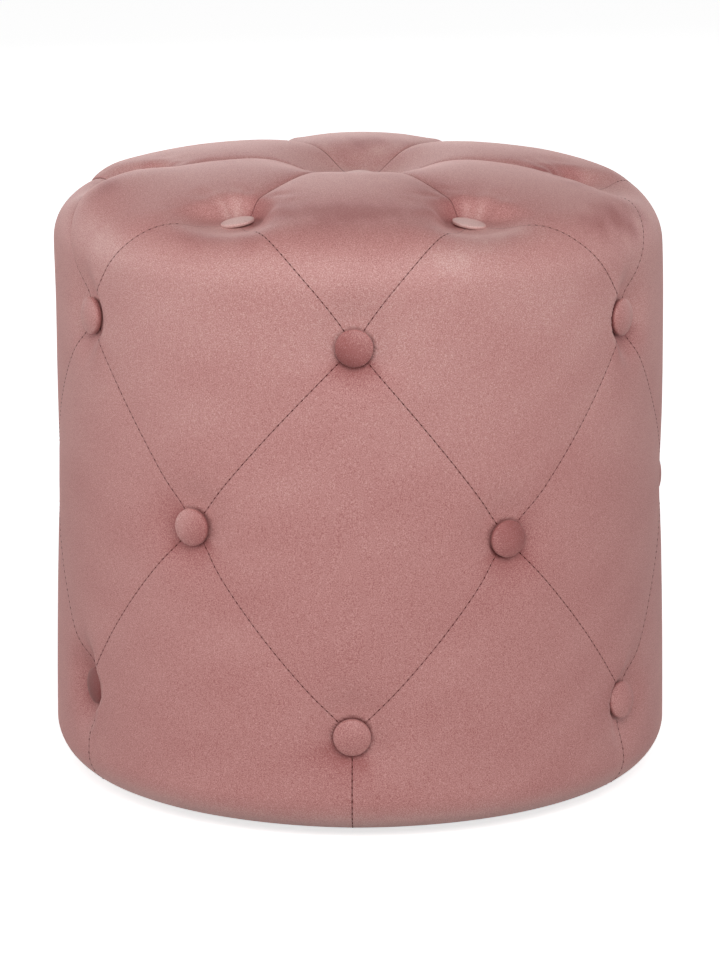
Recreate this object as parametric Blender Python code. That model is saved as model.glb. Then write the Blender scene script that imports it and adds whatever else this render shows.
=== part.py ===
"""Round button-tufted pouf: a fibre drum between two plywood boards, wrapped in foam and a sewn velvet cover.

Metres, +Z up. The origin is on the floor under the middle of the base. Angles run round the drum from the
front (-Y) towards +X. The cover is drawn in at every seam and button from a smooth turned form, whose outline
is measured by s, the length along it from the middle of the crown, over the rim and down to the hem.
"""

import math
from collections import namedtuple

import bmesh
import bpy
from mathutils import Matrix, Vector

# Outer form of the cover
BASE_RADIUS = 0.2012  # side at the level of the foot
TOP_RADIUS = 0.1957  # side carried up to the level of the crown
BODY_HEIGHT = 0.4042  # foot of the cover to the crown
CROWN_CURVE = 0.665  # radius of the domed top
RIM_ROUND = 0.0405
FOOT_ROUND = 0.032
HEM_RADIUS = 0.152  # inner edge of the cover, turned under the base board

# Cover, seams and tufts
COVER_THICKNESS = 0.0015
SEAM_GAP = 0.0006
TOP_SEAM_DEPTH = 0.008  # seams lie this far below the crown of their panels
SIDE_SEAM_DEPTH = 0.0025
SEAM_BOW = 0.1  # the seams over the rim bow by this part of their width
SEAM_EASE = 0.02  # length over which the top's seams grow shallow towards the ring of buttons
CENTRE_PIT_DEPTH = 0.0155  # buttons pull the cover in by this much more
TOP_PIT_DEPTH = 0.009
SIDE_PIT_DEPTH = 0.0042
CENTRE_PIT_REACH = 0.032  # how far a pit's wall spreads beyond the button
TOP_PIT_REACH = 0.009
RIM_PIT_REACH = 0.026  # the same, straight out from the top's ring towards the rim
RIM_PIT_FAN = (-0.3, 0.7)  # cosines of the angles from that way between which the reach changes
SIDE_PIT_REACH = 0.013
PIT_MARGIN = 0.001  # flat ring round a button, on the floor of its pit
TOP_FULLNESS = 0.35  # the lower, the more quickly a panel swells from its seams
SIDE_FULLNESS = 0.6

# Buttons
AROUND = 6  # buttons in each row, and panels in each band
TOP_RING_INSET = 0.0492  # ring of buttons on the top, in from the side
UPPER_ROW_DROP = 0.0935  # below the crown
LOWER_ROW_HEIGHT = 0.0647  # above the foot of the cover
BUTTON_RADIUS = 0.0119
BUTTON_EDGE = 0.0022  # height of the cap's side
BUTTON_HEIGHT = 0.0050
TOP_LEAN = math.radians(9)  # the caps in the ring on the top sit this much more level than the form
TOP_CAP_LIFT = 0.0007  # a cap's back stands on the folds round its pit, this far off the floor
SIDE_CAP_LIFT = 0.0013
STEM_RADIUS = 0.0013
TOGGLE_RADIUS = 0.006
TOGGLE_THICKNESS = 0.003
# How far the buttons that were tied by eye sit above or below their row
MIDDLE_LEFT_RISE = 0.0036
MIDDLE_RIGHT_DROP = 0.0018
LOWER_LEFT_RISE = 0.0030
LOWER_RIGHT_DROP = 0.0038
# How far deeper they sit than their row
UPPER_LEFT_SINK = 0.002
UPPER_RIGHT_SINK = 0.003
LOWER_LEFT_SINK = 0.0055
LOWER_RIGHT_SINK = 0.002

# Padding, drum and boards
SIDE_FOAM = 0.019  # thinnest padding between drum and cover
TOP_FOAM = 0.049
DRUM_WALL = 0.006
TOP_BOARD = 0.013
BASE_BOARD = 0.016
TOP_BEVEL = (0.001, 0.001)  # of each board's outer edge, across and up
BASE_BEVEL = (0.012, 0.007)
REBATE = 0.007  # depth to which each board plugs into the drum

# Underside
DUST_THICKNESS = 0.0008
DUST_RADIUS = 0.163
GLIDE_COUNT = 4
GLIDE_CIRCLE = 0.132
GLIDE_RADIUS = 0.011
GLIDE_HEIGHT = 0.004
GLIDE_EDGE = 0.0012  # rounding of the glide's foot
NAIL_RADIUS = 0.0012
NAIL_DEPTH = 0.010  # into the base board

# Clearances
SEAT_GAP = 0.0003  # between hard pieces that touch
LAYER_GAP = 0.0005  # between cover and foam
HOLE_GAP = 0.0005  # round stems and nails

# Facets
DRUM_SEGMENTS = 36
BUTTON_SEGMENTS = 10
HOLE_SEGMENTS = 6

# Levels that follow from the sizes above
FOOT_Z = GLIDE_HEIGHT + DUST_THICKNESS + 2 * SEAT_GAP
CROWN_Z = FOOT_Z + BODY_HEIGHT
BASE_Z = FOOT_Z + COVER_THICKNESS + SEAT_GAP
TOP_BOARD_Z = CROWN_Z - TOP_FOAM - COVER_THICKNESS - LAYER_GAP
DRUM_RADIUS = min(TOP_RADIUS, BASE_RADIUS) - COVER_THICKNESS - LAYER_GAP - SIDE_FOAM - SEAT_GAP
DRUM_BORE = DRUM_RADIUS - DRUM_WALL
DRUM_FLAT = DRUM_BORE * math.cos(math.pi / DRUM_SEGMENTS)  # bore at the middle of a facet, where stems pass
DRUM_FOOT_Z = BASE_Z + BASE_BOARD - REBATE + SEAT_GAP
DRUM_HEAD_Z = TOP_BOARD_Z - TOP_BOARD + REBATE - SEAT_GAP

TOP_RING_RADIUS = TOP_RADIUS - TOP_RING_INSET
ROW_PITCH = (BODY_HEIGHT - UPPER_ROW_DROP - LOWER_ROW_HEIGHT) / 2
HAND_DRIFT = {
    "middle_button_6": MIDDLE_LEFT_RISE,
    "middle_button_1": -MIDDLE_RIGHT_DROP,
    "lower_button_6": LOWER_LEFT_RISE,
    "lower_button_2": -LOWER_RIGHT_DROP,
}
HAND_SINK = {
    "upper_button_6": UPPER_LEFT_SINK,
    "upper_button_2": UPPER_RIGHT_SINK,
    "lower_button_6": LOWER_LEFT_SINK,
    "lower_button_2": LOWER_RIGHT_SINK,
}

PITCH = math.tau / AROUND
# Angle of each row's first button in pitches. The rows were tied a little off true.
STAGGER = {"top": 0.5, "upper": 0.015, "middle": 0.497, "lower": 0.009}
Spot = namedtuple("Spot", "angle s")
Leg = namedtuple("Leg", "curvature length")
Tie = namedtuple("Tie", "row spot pit")


def outline_legs():
    """The cover's outline as arcs and straights, each tangent to the last: crown, rim, side, foot, hem."""
    taper = math.atan2(BASE_RADIUS - TOP_RADIUS, BODY_HEIGHT)
    crown_centre = BODY_HEIGHT - CROWN_CURVE
    reach = BASE_RADIUS * math.cos(taper) - crown_centre * math.sin(taper) - RIM_ROUND
    crown_turn = math.asin(reach / (CROWN_CURVE - RIM_ROUND)) - taper
    upright = math.pi / 2 - taper
    rim_end = crown_centre + (CROWN_CURVE - RIM_ROUND) * math.cos(crown_turn) + RIM_ROUND * math.sin(taper)
    foot_start = FOOT_ROUND * (1 + math.sin(taper))
    hem_start = BASE_RADIUS - FOOT_ROUND * (1 + math.sin(taper)) / math.cos(taper)
    return [
        Leg(1 / CROWN_CURVE, CROWN_CURVE * crown_turn),
        Leg(1 / RIM_ROUND, RIM_ROUND * (upright - crown_turn)),
        Leg(0.0, (rim_end - foot_start) / math.cos(taper)),
        Leg(1 / FOOT_ROUND, FOOT_ROUND * (math.pi - upright)),
        Leg(0.0, hem_start - HEM_RADIUS),
    ]


LEGS = outline_legs()
RIM_START_S = LEGS[0].length
RIM_END_S = RIM_START_S + LEGS[1].length
FOOT_START_S = RIM_END_S + LEGS[2].length
FOOT_END_S = FOOT_START_S + LEGS[3].length
HEM_END_S = FOOT_END_S + LEGS[4].length


def outline(s):
    """Point (r, z) and outward normal (r, z) of the smooth form at s."""
    r, z, heading = 0.0, CROWN_Z, 0.0
    for leg in LEGS:
        step = s if leg is LEGS[-1] else min(s, leg.length)
        turned_to = heading + leg.curvature * step
        if leg.curvature:
            r += (math.sin(turned_to) - math.sin(heading)) / leg.curvature
            z += (math.cos(turned_to) - math.cos(heading)) / leg.curvature
        else:
            r += step * math.cos(heading)
            z -= step * math.sin(heading)
        heading = turned_to
        s -= step
        if s <= 0:
            break
    return (r, z), (math.sin(heading), math.cos(heading))


def s_at_height(height):
    """Where the straight side passes this height above the foot."""
    (_, rim_z), (upright, _) = outline(RIM_END_S)
    return RIM_END_S + (rim_z - FOOT_Z - height) / upright


ROW_S = {
    "top": CROWN_CURVE * math.asin(TOP_RING_RADIUS / CROWN_CURVE),
    "upper": s_at_height(LOWER_ROW_HEIGHT + 2 * ROW_PITCH),
    "middle": s_at_height(LOWER_ROW_HEIGHT + ROW_PITCH),
    "lower": s_at_height(LOWER_ROW_HEIGHT),
}


def cover_point(angle, s, depth=0.0):
    """The point this far below the smooth form."""
    (r, z), (normal_r, normal_z) = outline(s)
    r -= depth * normal_r
    return Vector((r * math.sin(angle), -r * math.cos(angle), z - depth * normal_z))


def cover_normal(angle, s):
    _, (normal_r, normal_z) = outline(s)
    return Vector((normal_r * math.sin(angle), -normal_r * math.cos(angle), normal_z))


def cover_downhill(angle, s):
    """The way along the form, away from the middle of the crown."""
    _, (normal_r, normal_z) = outline(s)
    return Vector((normal_z * math.sin(angle), -normal_z * math.cos(angle), -normal_r))


def button_spot(row, index):
    """Where a button sits on the cover. An index past the last one goes on round the drum."""
    drift = HAND_DRIFT.get(f"{row}_button_{index % AROUND + 1}", 0.0)
    return Spot((index + STAGGER[row]) * PITCH, ROW_S[row] - drift)


def mix(a, b, share):
    return a + (b - a) * share


def mix_spots(a, b, share):
    return Spot(mix(a.angle, b.angle, share), mix(a.s, b.s, share))


def along_seam(a, b, share):
    """A spot on the seam from one button to the next. From the top's ring it bows out over the rim."""
    bow = 4 * SEAM_BOW * share * (1 - share) if a.s == ROW_S["top"] else 0.0
    return Spot(mix(a.angle, b.angle, share + bow), mix(a.s, b.s, share))


def smooth_step(start, end, value):
    share = min(1.0, max(0.0, (value - start) / (end - start)))
    return share * share * (3 - 2 * share)


def swell(share, fullness):
    """0 at a seam, 1 half way to the next."""
    return max(0.0, 4 * share * (1 - share)) ** fullness


def seam_depth(s):
    """Deep on the thick top pad, shallow on the side, nothing under the base. It changes evenly under a top cap."""
    seat = BUTTON_RADIUS + PIT_MARGIN
    cap_start = ROW_S["top"] - seat
    behind_cap = SIDE_SEAM_DEPTH + 2 * seat * math.tan(TOP_LEAN)
    depth = mix(TOP_SEAM_DEPTH, behind_cap, smooth_step(cap_start - SEAM_EASE, cap_start, s))
    depth -= (behind_cap - SIDE_SEAM_DEPTH) * min(1.0, max(0.0, (s - cap_start) / (2 * seat)))
    return depth * (1 - smooth_step(FOOT_START_S, FOOT_END_S, s))


def on_top(row):
    return row in ("centre", "top")


def centre_tie(angle):
    return Tie("centre", Spot(angle, 0.0), CENTRE_PIT_DEPTH)


def tie(row, index):
    """How a button is tied: its row, its spot, and how far it pulls the cover in."""
    sink = HAND_SINK.get(f"{row}_button_{index % AROUND + 1}", 0.0)
    return Tie(row, button_spot(row, index), (TOP_PIT_DEPTH if row == "top" else SIDE_PIT_DEPTH) + sink)


def pull(tied, here):
    """Hold of a button on the cover: 1 under its cap, fading out over the pit's wall."""
    away = here - cover_point(*tied.spot)
    reach = {"centre": CENTRE_PIT_REACH, "top": TOP_PIT_REACH}.get(tied.row, SIDE_PIT_REACH)
    beyond = max(0.0, away.length - BUTTON_RADIUS - PIT_MARGIN)
    if tied.row == "top" and beyond:
        downhill = away.normalized().dot(cover_downhill(*tied.spot))
        reach = mix(TOP_PIT_REACH, RIM_PIT_REACH, smooth_step(*RIM_PIT_FAN, downhill))
    return math.exp(-((beyond / reach) ** 2))


# Grid lines of the panels. The first one past each button is clear of its cap, so that the cap stands on
# flat cells.
SEAM_LENGTH = math.hypot(ROW_PITCH, PITCH / 2 * TOP_RADIUS)
CLEAR = (BUTTON_RADIUS + 2 * PIT_MARGIN) / SEAM_LENGTH
TOP_ACROSS = [0.0, CLEAR, 0.36, 0.64, 1 - CLEAR, 1.0]
SIDE_ACROSS = [0.0, CLEAR, 0.5, 1 - CLEAR, 1.0]
CROWN_STEPS = [0.0, CLEAR, 0.33, 0.62, 1 - CLEAR, 1.0]
SIDE_STEPS = [0.0, CLEAR, 0.5, 1 - CLEAR, 1.0]
RIM_STEPS = [0.0, CLEAR, 0.28, 0.475, 0.67, 1 - CLEAR, 1.0]
DROP_STEPS = [0.0, 0.35, 1.0]
FOOT_STEPS = [0.0, 0.5, 1.0]
HEM_STEPS = [0.0, 1.0]


class Panel:
    """One velvet panel, between seams that run down from its top button on the left and on the right.

    left and right hold the spots at which those edges turn, steps the grid lines between two such spots, and
    across those from left to right. A panel with a hem keeps its full width to the end. Any other closes
    again at a bottom button.
    """

    def __init__(self, left, right, ties, steps, across=SIDE_ACROSS, fullness=SIDE_FULLNESS):
        self.left = left
        self.right = right
        self.ties = ties
        self.steps = steps
        self.across = across
        self.fullness = fullness
        self.widest = len(steps[0]) - 1
        self.has_hem = left[-1] != right[-1]

    def place(self, leg, share, across):
        """The spot at this share of an edge's leg and of the width there, and how full the panel is at it."""
        start = along_seam(self.left[leg], self.left[leg + 1], share)
        end = along_seam(self.right[leg], self.right[leg + 1], share)
        if leg == 0:
            open_share = share
        else:
            open_share = 1.0 if self.has_hem else 1 - share
        from_left = swell(open_share * across, self.fullness)
        from_right = swell(open_share * (1 - across), self.fullness)
        return mix_spots(start, end, across), from_left * from_right

    def depth(self, spot, swollen):
        here = cover_point(*spot)
        hold, pit = max((pull(tied, here), tied.pit) for tied in self.ties)
        return seam_depth(spot.s) * (1 - swollen * (1 - hold)) + pit * hold

    def edge_share(self, leg, share, gap):
        """The share of the width that holds the panel back from the middle of a seam by half the gap."""
        start = along_seam(self.left[leg], self.left[leg + 1], share)
        end = along_seam(self.right[leg], self.right[leg + 1], share)
        return gap / (cover_point(*start) - cover_point(*end)).length

    def rows(self, gap):
        """Rows of (angle, s, depth). A row at a closed end is one point."""
        found = []
        for leg, steps in enumerate(self.steps):
            for share in steps[1:] if leg else steps:
                closed = (leg, share) == (0, 0.0) or ((leg, share) == (1, 1.0) and not self.has_hem)
                edge = 0.0 if closed or not gap else self.edge_share(leg, share, gap)
                row = []
                for across in [0.5] if closed else self.across:
                    spot, swollen = self.place(leg, share, min(max(across, edge), 1 - edge))
                    row.append((*spot, self.depth(spot, swollen)))
                found.append(row)
        return found


def clear_of_stem(corner, inner):
    """A panel's corner, drawn back from a button's stem towards the next point of its grid."""
    reach = 2 * (STEM_RADIUS + HOLE_GAP + SEAM_GAP)
    share = reach / (cover_point(*inner) - cover_point(*corner)).length
    return tuple(mix(a, b, share) for a, b in zip(corner, inner))


def middle_of(row):
    return tuple(sum(values) / len(row) for values in zip(*row))


def cut_corners(panel, rows):
    """Clears all of a panel's corners of the stems that pass there."""
    row = rows[panel.widest]
    row[0], row[-1] = clear_of_stem(row[0], row[1]), clear_of_stem(row[-1], row[-2])
    rows[0][0] = clear_of_stem(rows[0][0], middle_of(rows[1]))
    if not panel.has_hem:
        rows[-1][0] = clear_of_stem(rows[-1][0], middle_of(rows[-2]))


def top_panel(index):
    """A kite from the middle of the crown, over the rim, to a button of the upper row."""
    ties = [tie("top", index - 1), tie("top", index), tie("upper", index)]
    left, right, tip = (tied.spot for tied in ties)
    return Panel(
        [Spot(left.angle, 0.0), left, tip],
        [Spot(right.angle, 0.0), right, tip],
        [centre_tie(tip.angle)] + ties,
        [CROWN_STEPS, RIM_STEPS],
        TOP_ACROSS,
        TOP_FULLNESS,
    )


def diamond_panel(rows, index, step, steps):
    """A diamond between one button of its first row, two of its second, and one of its third."""
    first, second, third = rows
    ties = [tie(first, index), tie(second, index + step), tie(second, index + step + 1), tie(third, index)]
    head, left, right, foot = (tied.spot for tied in ties)
    return Panel([head, left, foot], [head, right, foot], ties, steps)


def lower_panel(index):
    """Two seams meet at its top button and run straight down from the next two. Its hem turns under."""
    ties = [tie("middle", index), tie("lower", index), tie("lower", index + 1)]
    head, *sides = (tied.spot for tied in ties)
    left, right = (
        [head, side] + [Spot(side.angle, s) for s in (FOOT_START_S, FOOT_END_S, HEM_END_S)] for side in sides
    )
    return Panel(left, right, ties, [SIDE_STEPS, DROP_STEPS, FOOT_STEPS, HEM_STEPS])


def all_panels():
    """Every panel of the cover, by name."""
    panels = {}
    for index in range(AROUND):
        number = index + 1
        panels[f"top_panel_{number}"] = top_panel(index)
        panels[f"upper_panel_{number}"] = diamond_panel(
            ("top", "upper", "middle"), index, 0, [RIM_STEPS, SIDE_STEPS]
        )
        panels[f"middle_panel_{number}"] = diamond_panel(
            ("upper", "middle", "lower"), index, -1, [SIDE_STEPS, SIDE_STEPS]
        )
        panels[f"lower_panel_{number}"] = lower_panel(index)
    return panels


def all_ties():
    """How every button is tied, by the button's name."""
    ties = {"top_centre_button": centre_tie(0.0)}
    for row in ROW_S:
        for index in range(AROUND):
            ties[f"{row}_button_{index + 1}"] = tie(row, index)
    return ties


def finish(name, colour, roughness, metallic=0.0):
    material = bpy.data.materials.new(name)
    material.use_nodes = True
    shader = material.node_tree.nodes["Principled BSDF"]
    shader.inputs["Base Color"].default_value = (*colour, 1.0)
    shader.inputs["Roughness"].default_value = roughness
    shader.inputs["Metallic"].default_value = metallic
    return material


def add_object(name, bm, material, placed=Matrix.Identity(4)):
    """A named object from a bmesh, with its faces pointing out."""
    bmesh.ops.recalc_face_normals(bm, faces=bm.faces)
    mesh = bpy.data.meshes.new(name)
    bm.to_mesh(mesh)
    bm.free()
    obj = bpy.data.objects.new(name, mesh)
    obj.matrix_world = placed
    bpy.context.scene.collection.objects.link(obj)
    if material:
        mesh.materials.append(material)
        mesh.shade_smooth()
        mesh.set_sharp_from_angle(angle=math.radians(35))
    return obj


def as_helper(obj):
    obj.hide_render = True
    obj.display_type = "WIRE"
    return obj


def cut(obj, helper):
    modifier = obj.modifiers.new(f"cut_{helper.name}", "BOOLEAN")
    modifier.operation = "DIFFERENCE"
    modifier.object = helper


def turned(outline_points, segments):
    """A bmesh turned about Z from points (r, z), with a facet facing front. Off the axis it makes a ring."""
    bm = bmesh.new()
    ring = outline_points[0][0] > 0
    half = math.pi / segments
    verts = [bm.verts.new((r * math.sin(half), -r * math.cos(half), z)) for r, z in outline_points]
    pairs = list(zip(verts, verts[1:])) + ([(verts[-1], verts[0])] if ring else [])
    edges = [bm.edges.new(pair) for pair in pairs]
    bmesh.ops.spin(
        bm, geom=verts + edges, axis=(0, 0, 1), cent=(0, 0, 0), angle=math.tau, steps=segments, use_merge=True
    )
    bmesh.ops.remove_doubles(bm, verts=bm.verts, dist=1e-6)
    return bm


def add_grid(bm, points, widest):
    """Cells over rows of points, with a fan at each row of one point. Returns the rows of vertices.

    No diagonal ends at a button, because a panel's corners are drawn back from there.
    """
    verts = [[bm.verts.new(point) for point in row] for row in points]
    half_columns = (len(verts[widest]) - 1) / 2
    cells = []
    for i, (upper, lower) in enumerate(zip(verts, verts[1:])):
        for j in range(max(len(upper), len(lower)) - 1):
            if len(upper) == 1:
                cells.append([upper[0], lower[j + 1], lower[j]])
            elif len(lower) == 1:
                cells.append([upper[j], upper[j + 1], lower[0]])
            elif (i < widest) == (j < half_columns):
                cells.append([upper[j], upper[j + 1], lower[j + 1], lower[j]])
            else:
                cells.append([upper[j + 1], lower[j + 1], lower[j], upper[j]])
    faces = [bm.faces.new(cell) for cell in cells]
    bmesh.ops.triangulate(bm, faces=faces, quad_method="FIXED")
    return verts


def layer(rows, below):
    """Points over a panel, this far below its face."""
    return [[cover_point(angle, s, depth + below) for angle, s, depth in row] for row in rows]


def border(rows):
    """The vertices round a grid, in order."""
    right = [row[-1] for row in rows[1:-1]]
    left = [row[0] for row in reversed(rows[1:-1])]
    return rows[0] + right + rows[-1][::-1] + left


def add_panel(name, panel, material):
    """A velvet panel: its face, its back and the cut edge between them."""
    rows = panel.rows(SEAM_GAP)
    cut_corners(panel, rows)
    bm = bmesh.new()
    face = add_grid(bm, layer(rows, 0.0), panel.widest)
    back = add_grid(bm, layer(rows, COVER_THICKNESS), panel.widest)
    outer, inner = border(face), border(back)
    for i in range(len(outer)):
        bm.faces.new((outer[i - 1], outer[i], inner[i], inner[i - 1]))
    return add_object(name, bm, material)


def close_holes(bm):
    bmesh.ops.edgeloop_fill(bm, edges=[edge for edge in bm.edges if edge.is_boundary])


def padding(panels):
    """A bmesh of all the padding, up to the back of the cover and closed across the base."""
    bm = bmesh.new()
    for panel in panels:
        add_grid(bm, layer(panel.rows(0.0), COVER_THICKNESS + LAYER_GAP), panel.widest)
    bmesh.ops.remove_doubles(bm, verts=bm.verts, dist=1e-6)
    close_holes(bm)
    return bm


def keep_part(bm, z, above):
    """Cuts a bmesh at a level and closes the cut."""
    bmesh.ops.bisect_plane(
        bm,
        geom=bm.verts[:] + bm.edges[:] + bm.faces[:],
        dist=1e-7,
        plane_co=(0, 0, z),
        plane_no=(0, 0, 1),
        clear_inner=above,
        clear_outer=not above,
    )
    close_holes(bm)
    return bm


def add_foam(panels, material):
    """The top pad over the board, and the side wrap from the pad down to the hem."""
    top = add_object("top_foam", keep_part(padding(panels), TOP_BOARD_Z + SEAT_GAP, above=True), material)
    side = add_object("side_foam", keep_part(padding(panels), TOP_BOARD_Z, above=False), material)
    radius, high, low = DRUM_RADIUS + SEAT_GAP, 2 * CROWN_Z, -CROWN_Z
    core = turned([(0.0, high), (radius, high), (radius, low), (0.0, low)], DRUM_SEGMENTS)
    cut(side, as_helper(add_object("drum_space", core, None)))
    return top, side


def button_seat(tied):
    """Placement of a cap's back, with local Z outwards, and the length of the stem to its toggle."""
    lift = TOP_CAP_LIFT if on_top(tied.row) else SIDE_CAP_LIFT
    origin = cover_point(*tied.spot, seam_depth(tied.spot.s) + tied.pit - lift)
    normal = cover_normal(*tied.spot)
    if tied.row == "top":
        normal = normal * math.cos(TOP_LEAN) - cover_downhill(*tied.spot) * math.sin(TOP_LEAN)
    if on_top(tied.row):
        slope, travel = normal.z, origin.z - (TOP_BOARD_Z - TOP_BOARD)
    else:
        slope, travel = math.hypot(normal.x, normal.y), math.hypot(origin.x, origin.y) - DRUM_FLAT
    lean = math.sqrt(max(0.0, 1 - slope * slope)) / slope
    placed = Matrix.Translation(origin) @ normal.to_track_quat("Z", "Y").to_matrix().to_4x4()
    return placed, travel / slope + TOGGLE_RADIUS * lean + HOLE_GAP


def add_button(name, tied, material):
    """A covered button with its domed cap, the twine pulled tight as a stem, and the toggle that holds it."""
    placed, stem = button_seat(tied)
    points = [
        (0.0, BUTTON_HEIGHT),
        (0.62 * BUTTON_RADIUS, mix(BUTTON_EDGE, BUTTON_HEIGHT, 0.72)),
        (BUTTON_RADIUS, BUTTON_EDGE),
        (BUTTON_RADIUS - BUTTON_EDGE / 2, 0.0),
        (STEM_RADIUS, 0.0),
        (STEM_RADIUS, -stem),
        (TOGGLE_RADIUS, -stem),
        (TOGGLE_RADIUS, -stem - TOGGLE_THICKNESS),
        (0.0, -stem - TOGGLE_THICKNESS),
    ]
    return add_object(name, turned(points, BUTTON_SEGMENTS), material, placed)


def add_holes(name, radius, places):
    """A helper with a round hole at each (placement, lowest and highest local Z)."""
    bm = bmesh.new()
    for placed, low, high in places:
        middle = placed @ Matrix.Translation((0, 0, (low + high) / 2))
        bmesh.ops.create_cone(
            bm,
            cap_ends=True,
            segments=HOLE_SEGMENTS,
            radius1=radius,
            radius2=radius,
            depth=high - low,
            matrix=middle,
        )
    return as_helper(add_object(name, bm, None))


def add_stem_holes(ties):
    seats = [button_seat(tied) for tied in ties]
    places = [(placed, -stem, BUTTON_HEIGHT) for placed, stem in seats]
    return add_holes("stem_holes", STEM_RADIUS + HOLE_GAP, places)


def add_drum(material):
    points = [
        (DRUM_RADIUS, DRUM_HEAD_Z),
        (DRUM_RADIUS, DRUM_FOOT_Z),
        (DRUM_BORE, DRUM_FOOT_Z),
        (DRUM_BORE, DRUM_HEAD_Z),
    ]
    return add_object("drum", turned(points, DRUM_SEGMENTS), material)


def add_board(name, flange_z, step_z, plug_z, bevel, material):
    """A round board: a flange as wide as the drum with a bevelled edge, and a plug that fits inside the drum."""
    plug_radius = DRUM_BORE - SEAT_GAP
    points = [
        (0.0, flange_z),
        (DRUM_RADIUS - bevel[0], flange_z),
        (DRUM_RADIUS, flange_z + math.copysign(bevel[1], step_z - flange_z)),
        (DRUM_RADIUS, step_z),
        (plug_radius, step_z),
        (plug_radius, plug_z),
        (0.0, plug_z),
    ]
    return add_object(name, turned(points, DRUM_SEGMENTS), material)


def glide_places():
    for index in range(GLIDE_COUNT):
        angle = (index + 0.5) * math.tau / GLIDE_COUNT
        yield Matrix.Translation((GLIDE_CIRCLE * math.sin(angle), -GLIDE_CIRCLE * math.cos(angle), 0.0))


def add_glides(material):
    """Moulded feet, each with a nail through the dust cover into the base board."""
    points = [
        (0.0, BASE_Z + NAIL_DEPTH),
        (NAIL_RADIUS, BASE_Z + NAIL_DEPTH - NAIL_RADIUS),
        (NAIL_RADIUS, GLIDE_HEIGHT),
        (GLIDE_RADIUS, GLIDE_HEIGHT),
        (GLIDE_RADIUS, GLIDE_EDGE),
        (GLIDE_RADIUS - GLIDE_EDGE, 0.0),
        (0.0, 0.0),
    ]
    for index, placed in enumerate(glide_places()):
        add_object(f"glide_{index + 1}", turned(points, BUTTON_SEGMENTS), material, placed)


def add_nail_holes():
    places = [(placed, GLIDE_HEIGHT / 2, BASE_Z + NAIL_DEPTH + HOLE_GAP) for placed in glide_places()]
    return add_holes("nail_holes", NAIL_RADIUS + HOLE_GAP, places)


def add_dust_cover(material):
    low = GLIDE_HEIGHT + SEAT_GAP
    high = low + DUST_THICKNESS
    points = [(0.0, high), (DUST_RADIUS, high), (DUST_RADIUS, low), (0.0, low)]
    return add_object("dust_cover", turned(points, DRUM_SEGMENTS), material)


def main():
    for obj in list(bpy.data.objects):
        bpy.data.objects.remove(obj)

    velvet = finish("rose_velvet", (0.46, 0.21, 0.20), 0.85)
    foam = finish("cream_foam", (0.80, 0.74, 0.58), 0.95)
    plywood = finish("poplar_plywood", (0.62, 0.46, 0.29), 0.7)
    fibre = finish("fibre_drum", (0.36, 0.25, 0.16), 0.85)
    nonwoven = finish("black_nonwoven", (0.02, 0.02, 0.02), 0.95)
    nylon = finish("black_nylon", (0.015, 0.015, 0.015), 0.45)

    panels, ties = all_panels(), all_ties()
    for name, panel in panels.items():
        add_panel(name, panel, velvet)
    for name, tied in ties.items():
        add_button(name, tied, velvet)

    top_foam, side_foam = add_foam(panels.values(), foam)
    drum = add_drum(fibre)
    top_board = add_board(
        "top_board", TOP_BOARD_Z, DRUM_HEAD_Z + SEAT_GAP, TOP_BOARD_Z - TOP_BOARD, TOP_BEVEL, plywood
    )
    stem_holes = add_stem_holes(ties.values())
    for piece in (top_foam, side_foam, drum, top_board):
        cut(piece, stem_holes)

    base_board = add_board(
        "base_board", BASE_Z, DRUM_FOOT_Z - SEAT_GAP, BASE_Z + BASE_BOARD, BASE_BEVEL, plywood
    )
    dust_cover = add_dust_cover(nonwoven)
    nail_holes = add_nail_holes()
    for piece in (base_board, dust_cover):
        cut(piece, nail_holes)
    add_glides(nylon)


main()
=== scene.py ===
"""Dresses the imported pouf: velvet panels tufted over foam, tied buttons, thread, and a studio round it."""

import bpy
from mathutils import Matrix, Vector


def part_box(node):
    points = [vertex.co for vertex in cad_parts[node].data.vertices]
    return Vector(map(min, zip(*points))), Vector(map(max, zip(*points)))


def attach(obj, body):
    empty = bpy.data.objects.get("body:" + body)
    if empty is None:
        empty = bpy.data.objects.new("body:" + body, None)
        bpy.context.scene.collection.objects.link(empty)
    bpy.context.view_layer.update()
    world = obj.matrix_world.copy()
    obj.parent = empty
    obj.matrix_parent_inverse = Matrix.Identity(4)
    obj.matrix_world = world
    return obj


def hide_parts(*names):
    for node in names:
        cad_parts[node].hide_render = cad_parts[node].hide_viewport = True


bl_info = {
    "name": "Buttoned velvet pouf",
    "version": (1, 0, 0),
    "blender": (4, 5, 0),
    "location": "View3D > Sidebar > Pouf",
    "description": "Sews the pouf's velvet cover over its frame, ties its buttons and sets up a studio",
    "category": "Object",
}

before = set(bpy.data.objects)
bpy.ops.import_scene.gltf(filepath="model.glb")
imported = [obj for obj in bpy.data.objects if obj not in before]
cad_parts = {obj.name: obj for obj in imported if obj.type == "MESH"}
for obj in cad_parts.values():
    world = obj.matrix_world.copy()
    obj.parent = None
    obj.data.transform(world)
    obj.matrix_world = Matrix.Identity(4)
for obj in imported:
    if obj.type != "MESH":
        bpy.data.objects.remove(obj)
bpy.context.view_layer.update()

import math
from collections import namedtuple

import bmesh
import bpy
import numpy as np
from bpy.props import FloatProperty, IntProperty, PointerProperty, StringProperty
from mathutils import Matrix, Vector
from mathutils.bvhtree import BVHTree

BODY = "root"
AROUND = 6  # buttons in each row, and panels in each band
PITCH = math.tau / AROUND
STAGGER = {"top": 0.5, "upper": 0.015, "middle": 0.497, "lower": 0.009}  # each row's first button, in pitches

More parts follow.
